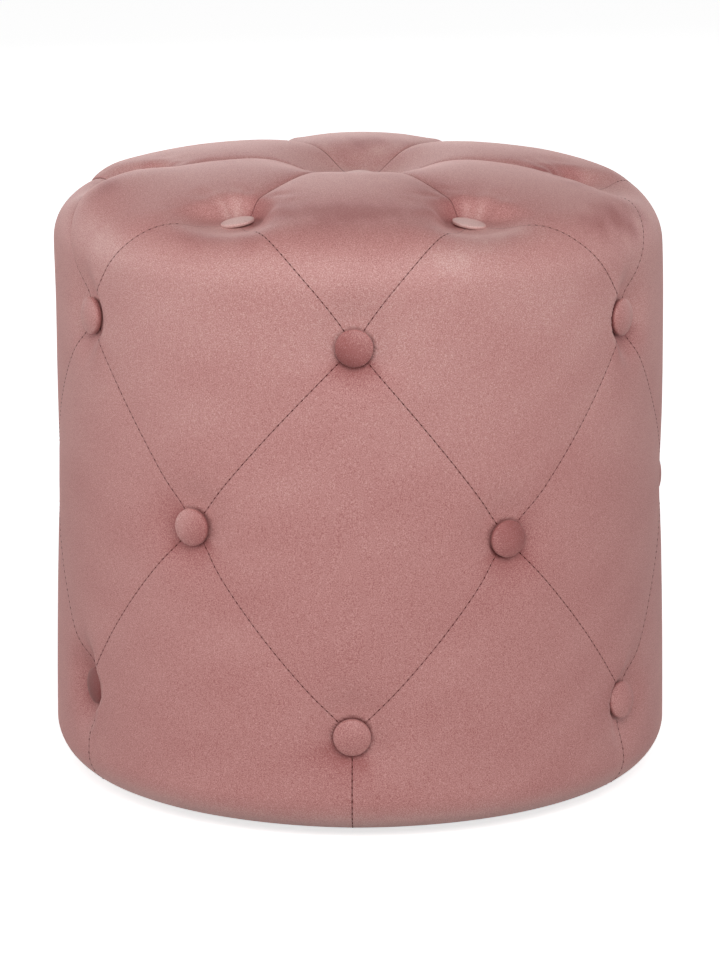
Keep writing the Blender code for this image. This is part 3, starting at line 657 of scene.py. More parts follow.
class CoverPanel:
    """One velvet panel, between seams that run down from its top button on the left and on the right."""

    def __init__(self, form, name, left, right, ties, fullness, slack):
        self.form, self.name, self.ties, self.fullness, self.slack = form, name, ties, fullness, slack
        self.left, self.right = left, right
        self.has_hem = left[-1] != right[-1]

    def row_places(self, spacing):
        """Leg and share of the leg of each row, at about this spacing. Closed ends stop short of a button."""
        found = []
        legs = len(self.left) - 1
        for leg in range(legs):
            ends = [self.form.point(*self.left[end]) for end in (leg, leg + 1)]
            long = float(np.linalg.norm(ends[1] - ends[0]))
            start = PANEL_TIP / long if leg == 0 else 0.0
            end = 1 - PANEL_TIP / long if leg == legs - 1 and not self.has_hem else 1.0
            shares = np.linspace(start, end, max(2, round(long / spacing)) + 1)
            found += [(leg, part) for part in (shares if leg == 0 else shares[1:])]
        return np.array(found)

    def edges(self, places):
        """Angle and s of the left edge and of the right edge at each row."""
        leg, part = places[:, 0].astype(int), places[:, 1]
        chains = [np.array(self.left), np.array(self.right)]
        return [self.form.along_seam(chain[leg].T, chain[leg + 1].T, part).T for chain in chains]

    def grid(self, places, columns):
        """Angle, s and fullness on rows from the top button down."""
        left, right = self.edges(places)
        width = np.linalg.norm(self.form.point(*left.T) - self.form.point(*right.T), axis=-1)
        held_back = np.minimum(self.form.cover.seam_gap / 2 / width, WIDEST_SLIT)[:, None]
        across = 0.5 - 0.5 * np.cos(np.linspace(0, math.pi, columns))[None, :]
        across = held_back + (1 - 2 * held_back) * across
        angle = mix(left[:, :1], right[:, :1], across)
        s = mix(left[:, 1:], right[:, 1:], across)
        leg, part = places[:, :1], places[:, 1:]
        opened = np.where(leg == 0, part, 1.0 if self.has_hem else 1 - part)
        swell = self.swell(opened * across) * self.swell(opened * (1 - across))
        return angle, s, swell

    def swell(self, part):
        """0 at a seam, 1 half way to the next."""
        return np.maximum(0.0, 4 * part * (1 - part)) ** self.fullness

    def depth(self, angle, s, swell):
        """How far the cover lies below the smooth form."""
        form = self.form
        here = form.point(angle, s)
        hold, pit = form.hold(here, self.ties)
        depth = form.seam_depth(s) * (1 - swell * (1 - hold)) + pit * hold + self.slack * swell * (1 - hold)
        free = 1 - smooth_step(form.foot_start, form.foot_end, s)
        return depth - free * (form.pleats(here, self.ties) + form.unevenness(here) * swell * (1 - hold))


class Puff:
    """How far the padding pushes one panel out, on the coarse net that it was worked out for."""

    def __init__(self, places, moved):
        self.down = places.sum(axis=1)
        self.moved = moved

    def at(self, places, columns):
        """The push on finer rows and columns."""
        down, across = places.sum(axis=1), np.linspace(0, 1, columns)
        coarse_across = np.linspace(0, 1, self.moved.shape[1])
        rows = np.stack([np.interp(down, self.down, column) for column in self.moved.T], axis=1)
        return np.stack([np.interp(across, coarse_across, row) for row in rows])


def all_panels(form):
    """Every panel of the cover. Indices run on round the drum, so its left edge has the smaller angle."""
    panels = []
    cover = form.cover
    top_cut, side_cut = (cover.top_fullness, cover.top_slack), (cover.side_fullness, cover.side_slack)
    hem = (form.foot_start, form.foot_end, form.hem_end)
    for index in range(AROUND):
        number = index + 1
        tip = form.spot("upper", index)
        sides = [("top", index - 1), ("top", index)]
        chains = [[Spot(spot.angle, 0.0), spot, tip] for spot in (form.spot(*place) for place in sides)]
        ties = [form.ties["top_centre_button"]]
        ties += [form.tie_at(*place) for place in (*sides, ("upper", index))]
        panels.append(CoverPanel(form, f"top_panel_{number}", *chains, ties, *top_cut))
        for band, above, below, step in (("upper", "top", "middle", 0), ("middle", "upper", "lower", -1)):
            sides = [(band, index + step), (band, index + step + 1)]
            chains = [[form.spot(above, index), form.spot(*side), form.spot(below, index)] for side in sides]
            ties = [form.tie_at(*place) for place in ((above, index), (below, index), *sides)]
            panels.append(CoverPanel(form, f"{band}_panel_{number}", *chains, ties, *side_cut))
        head = form.spot("middle", index)
        sides = [("lower", index), ("lower", index + 1)]
        spots = [form.spot(*place) for place in sides]
        chains = [[head, spot, *(Spot(spot.angle, s) for s in hem)] for spot in spots]
        ties = [form.tie_at(*place) for place in (("middle", index), *sides)]
        panels.append(CoverPanel(form, f"lower_panel_{number}", *chains, ties, *side_cut))
    return panels


def all_seams(form):
    """Every seam as its two ends."""
    seams = []
    for index in range(AROUND):
        top = form.spot("top", index)
        seams.append((Spot(top.angle, 0.0), top))
        for above, below, step in (("top", "upper", 0), ("upper", "middle", -1), ("middle", "lower", 0)):
            for side in (0, 1):
                seams.append((form.spot(above, index), form.spot(below, index + step + side)))
        low = form.spot("lower", index)
        seams.append((low, Spot(low.angle, form.foot_end)))
    return seams


# Making pieces

def deselect():
    bpy.ops.object.select_all(action="DESELECT")


def link_piece(name, mesh):
    piece = bpy.data.objects.new(name, mesh)
    bpy.context.scene.collection.objects.link(piece)
    return piece


def new_piece(name, points, faces, material):
    """A smooth mesh piece from points and lists of faces."""
    mesh = bpy.data.meshes.new(name)
    mesh.from_pydata(points.reshape(-1, 3).tolist(), [], faces)
    mesh.materials.append(material)
    mesh.shade_smooth()
    return link_piece(name, mesh)


def cylinder(vertices, radius, depth, **place):
    """A cylinder alone in the selection, with its place and its turn taken up by its points."""
    deselect()
    bpy.ops.mesh.primitive_cylinder_add(vertices=vertices, radius=radius, depth=depth, **place)
    bpy.ops.object.transform_apply(location=True, rotation=True, scale=True)
    return bpy.context.object


def bevel_edges(width):
    """Bevels all the edges of the active piece."""
    bpy.ops.object.mode_set(mode="EDIT")
    bpy.ops.mesh.select_all(action="SELECT")
    bpy.ops.mesh.bevel(offset=width, segments=1, affect="EDGES")
    bpy.ops.object.mode_set(mode="OBJECT")


def select_cap(piece, side):
    """Selects the round cap that faces up (1) or down (-1) on a piece in edit mode."""
    bpy.ops.mesh.select_all(action="DESELECT")
    shape = bmesh.from_edit_mesh(piece.data)
    for face in shape.faces:
        face.select_set(len(face.verts) > 4 and face.normal.z * side > 0.9)
    bmesh.update_edit_mesh(piece.data)


def grid_faces(rows, columns):
    """Four-sided cells over rows of points, turned so that columns run right and rows run down."""
    corner = np.arange(rows * columns).reshape(rows, columns)
    cells = [corner[:-1, :-1], corner[1:, :-1], corner[1:, 1:], corner[:-1, 1:]]
    return np.stack(cells, axis=-1).reshape(-1, 4)


def grid_rim(rows, columns):
    """The points round the edge of a grid, in order."""
    corner = np.arange(rows * columns).reshape(rows, columns)
    return np.concatenate([corner[0, :-1], corner[:-1, -1], corner[-1, :0:-1], corner[:0:-1, 0]])


def shell_faces(rows, columns):
    """Faces of a closed shell between a face grid and a back grid."""
    face, rim, back = grid_faces(rows, columns), grid_rim(rows, columns), rows * columns
    after = np.roll(rim, -1)
    edge = np.stack([rim, after, after + back, rim + back], axis=-1)
    return np.concatenate([face, face[:, ::-1] + back, edge])


def set_attribute(piece, name, values):
    attribute = piece.data.attributes.new(name, "FLOAT", "POINT")
    attribute.data.foreach_set("value", np.ascontiguousarray(values, np.float32).ravel())


def take_shape(piece):
    """Points and triangles of a small piece that is only a model for copies. The piece itself goes."""
    deselect()
    piece.select_set(True)
    bpy.context.view_layer.objects.active = piece
    bpy.ops.object.mode_set(mode="EDIT")
    bpy.ops.mesh.select_all(action="SELECT")
    bpy.ops.mesh.quads_convert_to_tris()
    bpy.ops.object.mode_set(mode="OBJECT")
    points = np.array([vertex.co for vertex in piece.data.vertices])
    faces = np.array([face.vertices[:] for face in piece.data.polygons])
    bpy.data.objects.remove(piece)
    return points, faces


def copies(points, faces, places):
    """One mesh of many copies of a small shape, each moved by a 4 by 4 matrix."""
    placed = np.einsum("nij,vj->nvi", places[:, :3, :3], points) + places[:, None, :3, 3]
    start = np.arange(len(places))[:, None, None] * len(points)
    return placed.reshape(-1, 3), (faces[None] + start).reshape(-1, faces.shape[1])


# Materials

def linear(code):
    """A linear RGBA colour from an sRGB hex value."""
    values = [int(code[i : i + 2], 16) / 255 for i in (1, 3, 5)]
    return (*(v / 12.92 if v <= 0.04045 else ((v + 0.055) / 1.055) ** 2.4 for v in values), 1.0)


def add_node(tree, kind, inputs=None, **settings):
    """Adds a node, sets its settings, and sets or links each of its inputs, by name or number."""
    node = tree.nodes.new(kind)
    for name, value in settings.items():
        setattr(node, name, value)
    for name, value in (inputs or {}).items():
        if isinstance(value, bpy.types.NodeSocket):
            tree.links.new(value, node.inputs[name])
        else:
            node.inputs[name].default_value = value
    return node


def new_material(name):
    material = bpy.data.materials.new(name)
    material.use_nodes = True
    material.node_tree.nodes.clear()
    return material, material.node_tree


def finish_material(tree, shader):
    add_node(tree, "ShaderNodeOutputMaterial", {"Surface": shader.outputs["BSDF"]})


def per_metre(millimetres):
    """Scale of a pattern whose features are this wide."""
    return 1000.0 / millimetres


def velvet(look):
    """Short-pile polyester velvet, woven and sheared: brush marks where the pile is turned, mixed with
    painted shade and light round the buttons, over the top and down the side, a fine grain of tufts, painted
    shade in seams and round buttons, and a pale bloom where it is seen along the surface."""
    material, tree = new_material("sheared_rose_velvet")
    place = add_node(tree, "ShaderNodeTexCoord").outputs["Object"]
    # tufts are about 0.3 mm across, drawn as clumps of 0.6 mm so that they show
    tufts = add_node(
        tree,
        "ShaderNodeTexNoise",
        {"Vector": place, "Scale": per_metre(0.6), "Detail": 1.0, "Roughness": 0.6},
    ).outputs["Fac"]
    # how the pile lies, with painted shade and light laid in
    nap = add_node(tree, "ShaderNodeAttribute", attribute_name="nap").outputs["Fac"]
    lean = add_node(
        tree,
        "ShaderNodeMapRange",
        {"Value": tufts, "From Min": 0.25, "From Max": 0.75, "To Min": -TUFT_LEAN, "To Max": TUFT_LEAN},
    ).outputs["Result"]
    lie = add_node(tree, "ShaderNodeMath", {0: nap, 1: lean}, operation="ADD").outputs["Value"]
    tone = add_node(tree, "ShaderNodeValToRGB", {"Fac": lie})
    stops = tone.color_ramp.elements
    stops[0].color, stops[1].color = linear(look.deep), linear(look.pale)
    stops.new(0.5).color = linear(look.rose)
    # the gloss follows the same mix, so painted shade also loses its reflection
    gloss = add_node(tree, "ShaderNodeValToRGB", {"Fac": lie})
    stops = gloss.color_ramp.elements
    stops[0].color, stops[1].color = linear(look.dull), linear(look.gloss)
    stops[1].position = GLOSS_FULL
    # painted shade in the seams and round the buttons, laid over the tone
    crease = add_node(tree, "ShaderNodeAttribute", attribute_name="crease").outputs["Fac"]
    crease_shaded = add_node(
        tree,
        "ShaderNodeMix",
        {"Factor": crease, "A": tone.outputs["Color"], "B": linear(look.crease)},
        data_type="RGBA",
    )
    pile = add_node(tree, "ShaderNodeBump", {"Height": tufts, "Strength": 0.3, "Distance": 0.0005})
    shader = add_node(
        tree,
        "ShaderNodeBsdfPrincipled",
        {
            "Base Color": crease_shaded.outputs["Result"],
            "Roughness": 0.52,
            "IOR": 1.49,
            "Specular IOR Level": 0.83,
            "Specular Tint": gloss.outputs["Color"],
            "Sheen Weight": 0.39,
            "Sheen Roughness": 0.45,
            "Sheen Tint": linear(look.sheen),
            "Normal": pile.outputs["Normal"],
        },
    )
    finish_material(tree, shader)
    return material


def finish_patterned(tree, pattern, tones, relief, surface, spread=(0.0, 1.0)):
    """Ends a material whose two tones and fine relief (strength and height) follow a pattern."""
    tone = add_node(tree, "ShaderNodeValToRGB", {"Fac": pattern})
    for stop, position, code in zip(tone.color_ramp.elements, spread, tones):
        stop.position = position
        stop.color = linear(code)
    strength, height = relief
    bump = add_node(tree, "ShaderNodeBump", {"Height": pattern, "Strength": strength, "Distance": height})
    drawn = {"Base Color": tone.outputs["Color"], "Normal": bump.outputs["Normal"]}
    finish_material(tree, add_node(tree, "ShaderNodeBsdfPrincipled", {**surface, **drawn}))


def thread_material(look):
    """Spun polyester thread: dark, with a slight gloss."""
    material, tree = new_material("spun_polyester_thread")
    place = add_node(tree, "ShaderNodeTexCoord").outputs["Object"]
    ply = add_node(tree, "ShaderNodeTexNoise", {"Vector": place, "Scale": per_metre(0.5)}).outputs["Fac"]
    tones = (darker(look.thread, 0.6), look.thread)
    surface = {"Roughness": 0.7, "Specular IOR Level": 0.15}
    finish_patterned(tree, ply, tones, relief=(0.3, 0.0001), surface=surface)
    return material


def foam_material(look):
    """Cut polyurethane foam: open cells show as a fine rough grain, darker in their hollows."""
    material, tree = new_material("cut_polyurethane_foam")
    place = add_node(tree, "ShaderNodeTexCoord").outputs["Object"]
    cells = add_node(tree, "ShaderNodeTexVoronoi", {"Vector": place, "Scale": per_metre(1.2)})
    tones, surface = (darker(look.foam, 0.85), look.foam), {"Roughness": 0.95}
    finish_patterned(tree, cells.outputs["Distance"], tones, relief=(0.6, 0.0006), surface=surface)
    return material


def grained_material(name, code, dark, millimetres, roughness, stretch=(1, 1, 1), metallic=0.0):
    """A material whose two tones and fine relief follow a noise of this width, drawn out along each axis."""
    material, tree = new_material(name)
    place = add_node(tree, "ShaderNodeTexCoord").outputs["Object"]
    drawn = add_node(tree, "ShaderNodeMapping", {"Vector": place, "Scale": stretch}).outputs["Vector"]
    values = {"Vector": drawn, "Scale": per_metre(millimetres), "Detail": 4.0}
    grain = add_node(tree, "ShaderNodeTexNoise", values).outputs["Fac"]
    surface = {"Roughness": roughness, "Metallic": metallic}
    tones = (darker(code, dark), code)
    height = millimetres / 4000  # a quarter of the grain's width
    finish_patterned(tree, grain, tones, relief=(0.4, height), surface=surface, spread=(0.3, 0.7))
    return material


def darker(code, part):
    """A hex value with each channel brought down to this part."""
    return "#" + "".join(f"{round(int(code[i : i + 2], 16) * part):02X}" for i in (1, 3, 5))


# Operators

class POUF_OT_sew_cover(bpy.types.Operator):
    """Sews the velvet panels of the cover"""

    bl_idname = "pouf.sew_cover"
    bl_label = "Sew cover"

    def execute(self, context):
        settings = context.scene.pouf
        form = CoverForm(settings)
        cloth = velvet(settings.look)
        panels = all_panels(form)
        puffs = self.puff_out(context, panels)
        for panel, puff in zip(panels, puffs):
            places = panel.row_places(FINE_ROWS)
            angle, s, swell = panel.grid(places, FINE_COLUMNS)
            depth = panel.depth(angle, s, swell) - puff.at(places, FINE_COLUMNS)
            face = form.point(angle, s, depth)
            to_left, to_right = (np.linalg.norm(face - edge, axis=-1) for edge in (face[:, :1], face[:, -1:]))
            to_edge = np.minimum(to_left, to_right)
            lip = form.cover.seam_lip * np.exp(-((to_edge / LIP_WIDTH) ** 2))
            back = form.point(angle, s, depth + form.cover.thickness + lip)
            points = np.concatenate([face.reshape(-1, 3), back.reshape(-1, 3)])
            piece = new_piece(panel.name + "_velvet", points, shell_faces(*angle.shape).tolist(), cloth)
            # painted shade along each seam and round each button; the back of the cloth is painted shade all
            # over
            crease = SEAM_SHADE * np.exp(-((to_edge / SEAM_SHADE_WIDTH) ** 2))
            for tie in panel.ties:
                beyond, bearing = form.round_tie(tie, form.point(angle, s))
                ring = form.ring(tie, bearing) * np.exp(-((beyond / RING_SHADE_WIDTH) ** 2))
                crease = np.maximum(crease, ring)
            set_attribute(piece, "crease", np.stack([crease, np.ones_like(crease)]))
            # the pile's lie with painted shade and light, on both sides of the cloth
            set_attribute(piece, "nap", np.tile(form.nap(angle, s, panel.ties), (2, 1)))
            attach(piece, BODY)
            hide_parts(panel.name)
        return {"FINISHED"}

    def puff_out(self, context, panels):
        """Lets the padding push the panels out on a coarse net of each, and returns how far each net went."""
        nets = []
        points, normals, faces, pins = [], [], [], []
        for panel in panels:
            places = panel.row_places(NET_ROWS)
            angle, s, swell = panel.grid(places, NET_COLUMNS)
            net = panel.form.point(angle, s, panel.depth(angle, s, swell))
            held, _ = panel.form.hold(panel.form.point(angle, s), panel.ties)
            pin = (held > HELD_FIRM) | (s > panel.form.foot_start)
            pin[[0, -1], :] = True
            pin[:, [0, -1]] = True
            faces.append(grid_faces(*angle.shape) + sum(len(part) for part in points))
            points.append(net.reshape(-1, 3))
            normals.append(panel.form.normal(angle, s).reshape(-1, 3))
            pins.append(pin.ravel())
            nets.append((places, angle.shape))
        start, outward, cells, sewn = (np.concatenate(parts) for parts in (points, normals, faces, pins))
        end = self.simulate(context, start, cells, sewn)
        moved = np.einsum("ij,ij->i", end - start, outward)
        limit = context.scene.pouf.cover.puff_limit
        moved = np.clip(moved, -limit, limit)
        parts = np.split(moved, np.cumsum([len(part) for part in points])[:-1])
        return [Puff(places, part.reshape(shape)) for (places, shape), part in zip(nets, parts)]

    def simulate(self, context, points, faces, pins):
        """Points of a net of cloth after pressure from behind, held where it is sewn and tied."""
        mesh = bpy.data.meshes.new("cover_net")
        mesh.from_pydata(points.tolist(), [], faces.tolist())
        net = link_piece("cover_net", mesh)
        sewn = net.vertex_groups.new(name="sewn")
        sewn.add(np.flatnonzero(pins).tolist(), 1.0, "REPLACE")
        cloth = net.modifiers.new("cloth", "CLOTH")
        cloth.settings.quality = 5
        cloth.settings.mass = 0.3
        cloth.settings.tension_stiffness = cloth.settings.compression_stiffness = 3
        cloth.settings.shear_stiffness = 2
        cloth.settings.bending_stiffness = 0.1
        cloth.settings.vertex_group_mass = "sewn"
        cloth.settings.use_pressure = True
        cloth.settings.uniform_pressure_force = 4
        cloth.settings.effector_weights.gravity = 0
        cloth.collision_settings.use_collision = False
        cloth.point_cache.frame_start, cloth.point_cache.frame_end = 1, SIMULATED_FRAMES
        for step in range(1, SIMULATED_FRAMES + 1):
            context.scene.frame_set(step)
        shaped = net.evaluated_get(context.evaluated_depsgraph_get()).to_mesh()
        end = np.array([vertex.co for vertex in shaped.vertices])
        bpy.data.objects.remove(net)
        context.scene.frame_set(1)
        return end


class POUF_OT_stitch_seams(bpy.types.Operator):
    """Lays the stitches that show in the seams"""

    bl_idname = "pouf.stitch_seams"
    bl_label = "Stitch seams"

    def execute(self, context):
        settings = context.scene.pouf
        form = CoverForm(settings)
        points, faces = self.one_stitch(settings.cover)
        places = []
        for start, end in all_seams(form):
            places += self.seam_places(form, start, end)
        all_points, all_faces = copies(points, faces, np.array(places))
        piece = new_piece("seam_stitches", all_points, all_faces.tolist(), thread_material(settings.look))
        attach(piece, BODY)
        return {"FINISHED"}

    def one_stitch(self, cover):
        """Points and faces of a stitch along X: a short strand, thinner at its ends."""
        along_x = (0, math.pi / 2, 0)
        strand = cylinder(vertices=6, radius=cover.thread_radius, depth=cover.stitch_length, rotation=along_x)
        bevel_edges(cover.thread_radius / 2)
        return take_shape(strand)

    def seam_places(self, form, start, end):
        """A matrix for each stitch of a seam, with X along it and Z out of the cover."""
        angle, s = form.along_seam(start, end, np.linspace(0, 1, SEAM_SAMPLES))
        here = form.point(angle, s)
        near = list(form.ties.values())
        hold, pit = form.hold(here, near)
        line = form.point(angle, s, form.seam_depth(s) + pit * hold - form.pleats(here, near))
        along = np.concatenate([[0], np.cumsum(np.linalg.norm(np.diff(line, axis=0), axis=1))])
        pitch = form.cover.stitch_pitch
        # the seams on the top hide all their stitches, and those over the rim the first of theirs
        bare = {0.0: along[-1], form.row_s["top"]: form.cover.bare_seam}.get(start.s, 0.0)

        def line_at(length):
            return np.array([np.interp(length, along, line[:, axis]) for axis in range(3)])

        found = []
        for at in np.arange(bare + pitch / 2, along[-1], pitch):
            x = line_at(at + STITCH_REACH) - line_at(at - STITCH_REACH)
            x /= np.linalg.norm(x)
            z = form.normal(np.interp(at, along, angle), np.interp(at, along, s))
            y = np.cross(z, x)
            y /= np.linalg.norm(y)
            z = np.cross(x, y)
            place = np.eye(4)
            place[:3, :3] = np.stack([x, y, z], axis=1)
            place[:3, 3] = line_at(at) - STITCH_SINK * z
            found.append(place)
        return found


class POUF_OT_tie_buttons(bpy.types.Operator):
    """Makes the covered buttons and ties them into their pits"""

    bl_idname = "pouf.tie_buttons"
    bl_label = "Tie buttons"

    def execute(self, context):
        settings = context.scene.pouf
        form = CoverForm(settings)
        cloth = bpy.data.materials["sheared_rose_velvet"]
        model = self.one_button(settings.button, cloth)
        for name, tie in form.ties.items():
            button = link_piece(name + "_velvet", model.data.copy())
            place = np.array([vertex.co for vertex in button.data.vertices])
            bearing = np.arctan2(place[:, 1], place[:, 0])
            # the pile on the face, with its painted lighter side
            heading, amount = tie.shade
            out = np.hypot(place[:, 0], place[:, 1]) / settings.button.radius
            face = tie.face + amount * out * np.cos(bearing - math.radians(heading))
            # painted shade on the lower part of a button's side, and over its whole face where the face is
            # below -1
            sides = 1 - smooth_step(*BUTTON_SIDE, place[:, 2] / settings.button.edge)
            sides = sides * mix(LEAST_SIDE, 1.0, form.ring(tie, bearing))
            if tie.row == "top":
                button.data.transform(Matrix.Diagonal(TOP_BUTTON_SCALE))
            button.data.transform(self.seat(form, tie))
            set_attribute(button, "nap", np.clip(0.5 + 0.5 * face, 0.0, 1.0))
            set_attribute(button, "crease", np.maximum(sides, np.clip(-1 - face, 0.0, 1.0)))
            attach(button, BODY)
            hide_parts(name)
        bpy.data.objects.remove(model)
        return {"FINISHED"}

    def one_button(self, sizes, material):
        """A covered button on the origin with Z out: velvet drawn over a domed shell and tucked in behind."""
        middle = (0, 0, sizes.edge / 2)
        button = cylinder(vertices=32, radius=sizes.radius, depth=sizes.edge, location=middle)
        dome = sizes.crown - sizes.edge
        bpy.ops.object.mode_set(mode="EDIT")
        for side, rings in ((1, BUTTON_FACE), (-1, BUTTON_BACK)):
            select_cap(button, side)
            for width, rise in rings:
                bpy.ops.mesh.inset(thickness=width * sizes.radius, depth=rise * dome)
            bpy.ops.mesh.poke()
        bpy.ops.object.mode_set(mode="OBJECT")
        rounding = button.modifiers.new("rounding", "SUBSURF")
        rounding.levels = rounding.render_levels = 2
        bpy.ops.object.modifier_apply(modifier="rounding")
        button.data.shade_smooth()
        button.data.materials.append(material)
        return button

    @staticmethod
    def seat(form, tie):
        """Matrix that sets a button's back into its pit, square to the form but for the lean of its tie."""
        depth = float(form.seam_depth(tie.spot.s)) + tie.pit - tie.lift
        normal = Vector(form.normal(*tie.spot))
        turn_to = normal.to_track_quat("Z", "Y").to_matrix().to_4x4()
        lean = Matrix.Rotation(tie.lean_side, 4, "Y") @ Matrix.Rotation(tie.lean_out, 4, "X")
        return Matrix.Translation(Vector(form.point(*tie.spot, depth))) @ turn_to @ lean


class POUF_OT_pad_body(bpy.types.Operator):
    """Puts the foam round the drum and on its top"""

    bl_idname = "pouf.pad_body"
    bl_label = "Pad body"

    def execute(self, context):
        material = foam_material(context.scene.pouf.look)
        form = CoverForm(context.scene.pouf)
        sewn = bmesh.new()
        for panel in all_panels(form):
            sewn.from_mesh(bpy.data.meshes[panel.name + "_velvet"])
        cover = BVHTree.FromBMesh(sewn)
        sewn.free()
        for node in ("top_foam", "side_foam"):
            foam = link_piece(node + "_block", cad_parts[node].data.copy())
            foam.data.materials.clear()
            foam.data.materials.append(material)
            deselect()
            foam.select_set(True)
            context.view_layer.objects.active = foam
            bpy.ops.object.mode_set(mode="EDIT")
            bpy.ops.mesh.select_all(action="SELECT")
            bpy.ops.mesh.remove_doubles(threshold=1e-5)
            bpy.ops.mesh.subdivide(number_cuts=2, smoothness=0.0)
            bpy.ops.object.mode_set(mode="OBJECT")
            self.press_in(form, foam, cover)
            foam.data.shade_smooth()
            foam.data.set_sharp_from_angle(angle=FOAM_SHARP)
            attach(foam, BODY)
            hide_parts(node)
        return {"FINISHED"}

    def press_in(self, form, foam, cover):
        """Presses the foam's outside in where a panel of the cover lies deeper than it."""
        r, z, across, up = form.outline(np.linspace(0, form.hem_end, FOAM_SAMPLES))
        mesh = foam.data
        places = np.array([vertex.co for vertex in mesh.vertices])
        facing = np.array([vertex.normal for vertex in mesh.vertices])
        for index, place in enumerate(places):
            nearest = int(np.argmin((r - math.hypot(place[0], place[1])) ** 2 + (z - place[2]) ** 2))
            angle = math.atan2(place[0], -place[1])
            level = across[nearest]
            away = np.array([level * math.sin(angle), -level * math.cos(angle), up[nearest]])
            if facing[index] @ away < FACING_OUT:
                continue
            start = place + FOAM_REACH * away
            depth = cover.ray_cast(Vector(start), Vector(-away), 2 * FOAM_REACH)[3] or 0.0
            behind = depth + form.cover.thickness + FOAM_CLEARANCE
            places[index] = start - away * max(FOAM_REACH, behind)
        mesh.vertices.foreach_set("co", places.ravel())


class POUF_OT_tie_twine(bpy.types.Operator):
    """Ties the buttons' twine through the padding to toggles inside the drum"""

    bl_idname = "pouf.tie_twine"
    bl_label = "Tie twine"

    def execute(self, context):
        settings = context.scene.pouf
        form = CoverForm(settings)
        sizes = settings.button
        strand = self.rod(sizes.twine_radius, 0.0)
        toggle = self.rod(sizes.toggle_radius, sizes.toggle_edge)
        strands, toggles = [], []
        for name, tie in form.ties.items():
            seat = POUF_OT_tie_buttons.seat(form, tie)
            far = min((seat.inverted() @ vertex.co).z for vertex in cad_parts[name].data.vertices)
            length = -far - sizes.toggle_thickness
            toggles.append(self.placed(seat, far, sizes.toggle_thickness))
            strands.append(self.placed(seat, -length, length))
        parts = [copies(*shape, np.array(places)) for shape, places in ((strand, strands), (toggle, toggles))]
        points = np.concatenate([part[0] for part in parts])
        faces = np.concatenate([parts[0][1], parts[1][1] + len(parts[0][0])])
        # waxed cotton twine on pressed card toggles: fibres show as fine streaks along the tie
        material = grained_material(
            "waxed_cotton_twine",
            settings.look.twine,
            dark=0.7,
            millimetres=1.0,
            roughness=0.8,
            stretch=(1, 1, 0.3),
        )
        piece = new_piece("button_ties", points, faces.tolist(), material)
        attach(piece, BODY)
        return {"FINISHED"}

    def placed(self, seat, start, length):
        """Matrix that sets a rod of unit length on a seat's axis."""
        return np.array(seat @ Matrix.Translation((0, 0, start)) @ Matrix.Diagonal((1, 1, length, 1)))

    def rod(self, radius, bevel):
        """Points and triangles of a rod along Z from 0 to 1."""
        rod = cylinder(vertices=12, radius=radius, depth=1, location=(0, 0, 0.5))
        if bevel:
            bevel_edges(bevel)
        return take_shape(rod)


class POUF_OT_finish_carcass(bpy.types.Operator):
    """Gives the drum and its boards their materials"""

    bl_idname = "pouf.finish_carcass"
    bl_label = "Finish carcass"

    def execute(self, context):
        look = context.scene.pouf.look
        # rolled kraft fibreboard: fine fibres that lie round the drum
        fibre = grained_material(
            "rolled_fibreboard", look.fibre, dark=0.8, millimetres=2.5, roughness=0.85, stretch=(1, 1, 3)
        )
        # rotary-cut poplar plywood: long grain along one way
        plywood = grained_material(
            "poplar_plywood", look.plywood, dark=0.75, millimetres=4.0, roughness=0.7, stretch=(0.08, 1, 1)
        )
        for node, material in (("drum", fibre), ("top_board", plywood), ("base_board", plywood)):
            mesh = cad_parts[node].data
            mesh.materials.clear()
            mesh.materials.append(material)
        return {"FINISHED"}


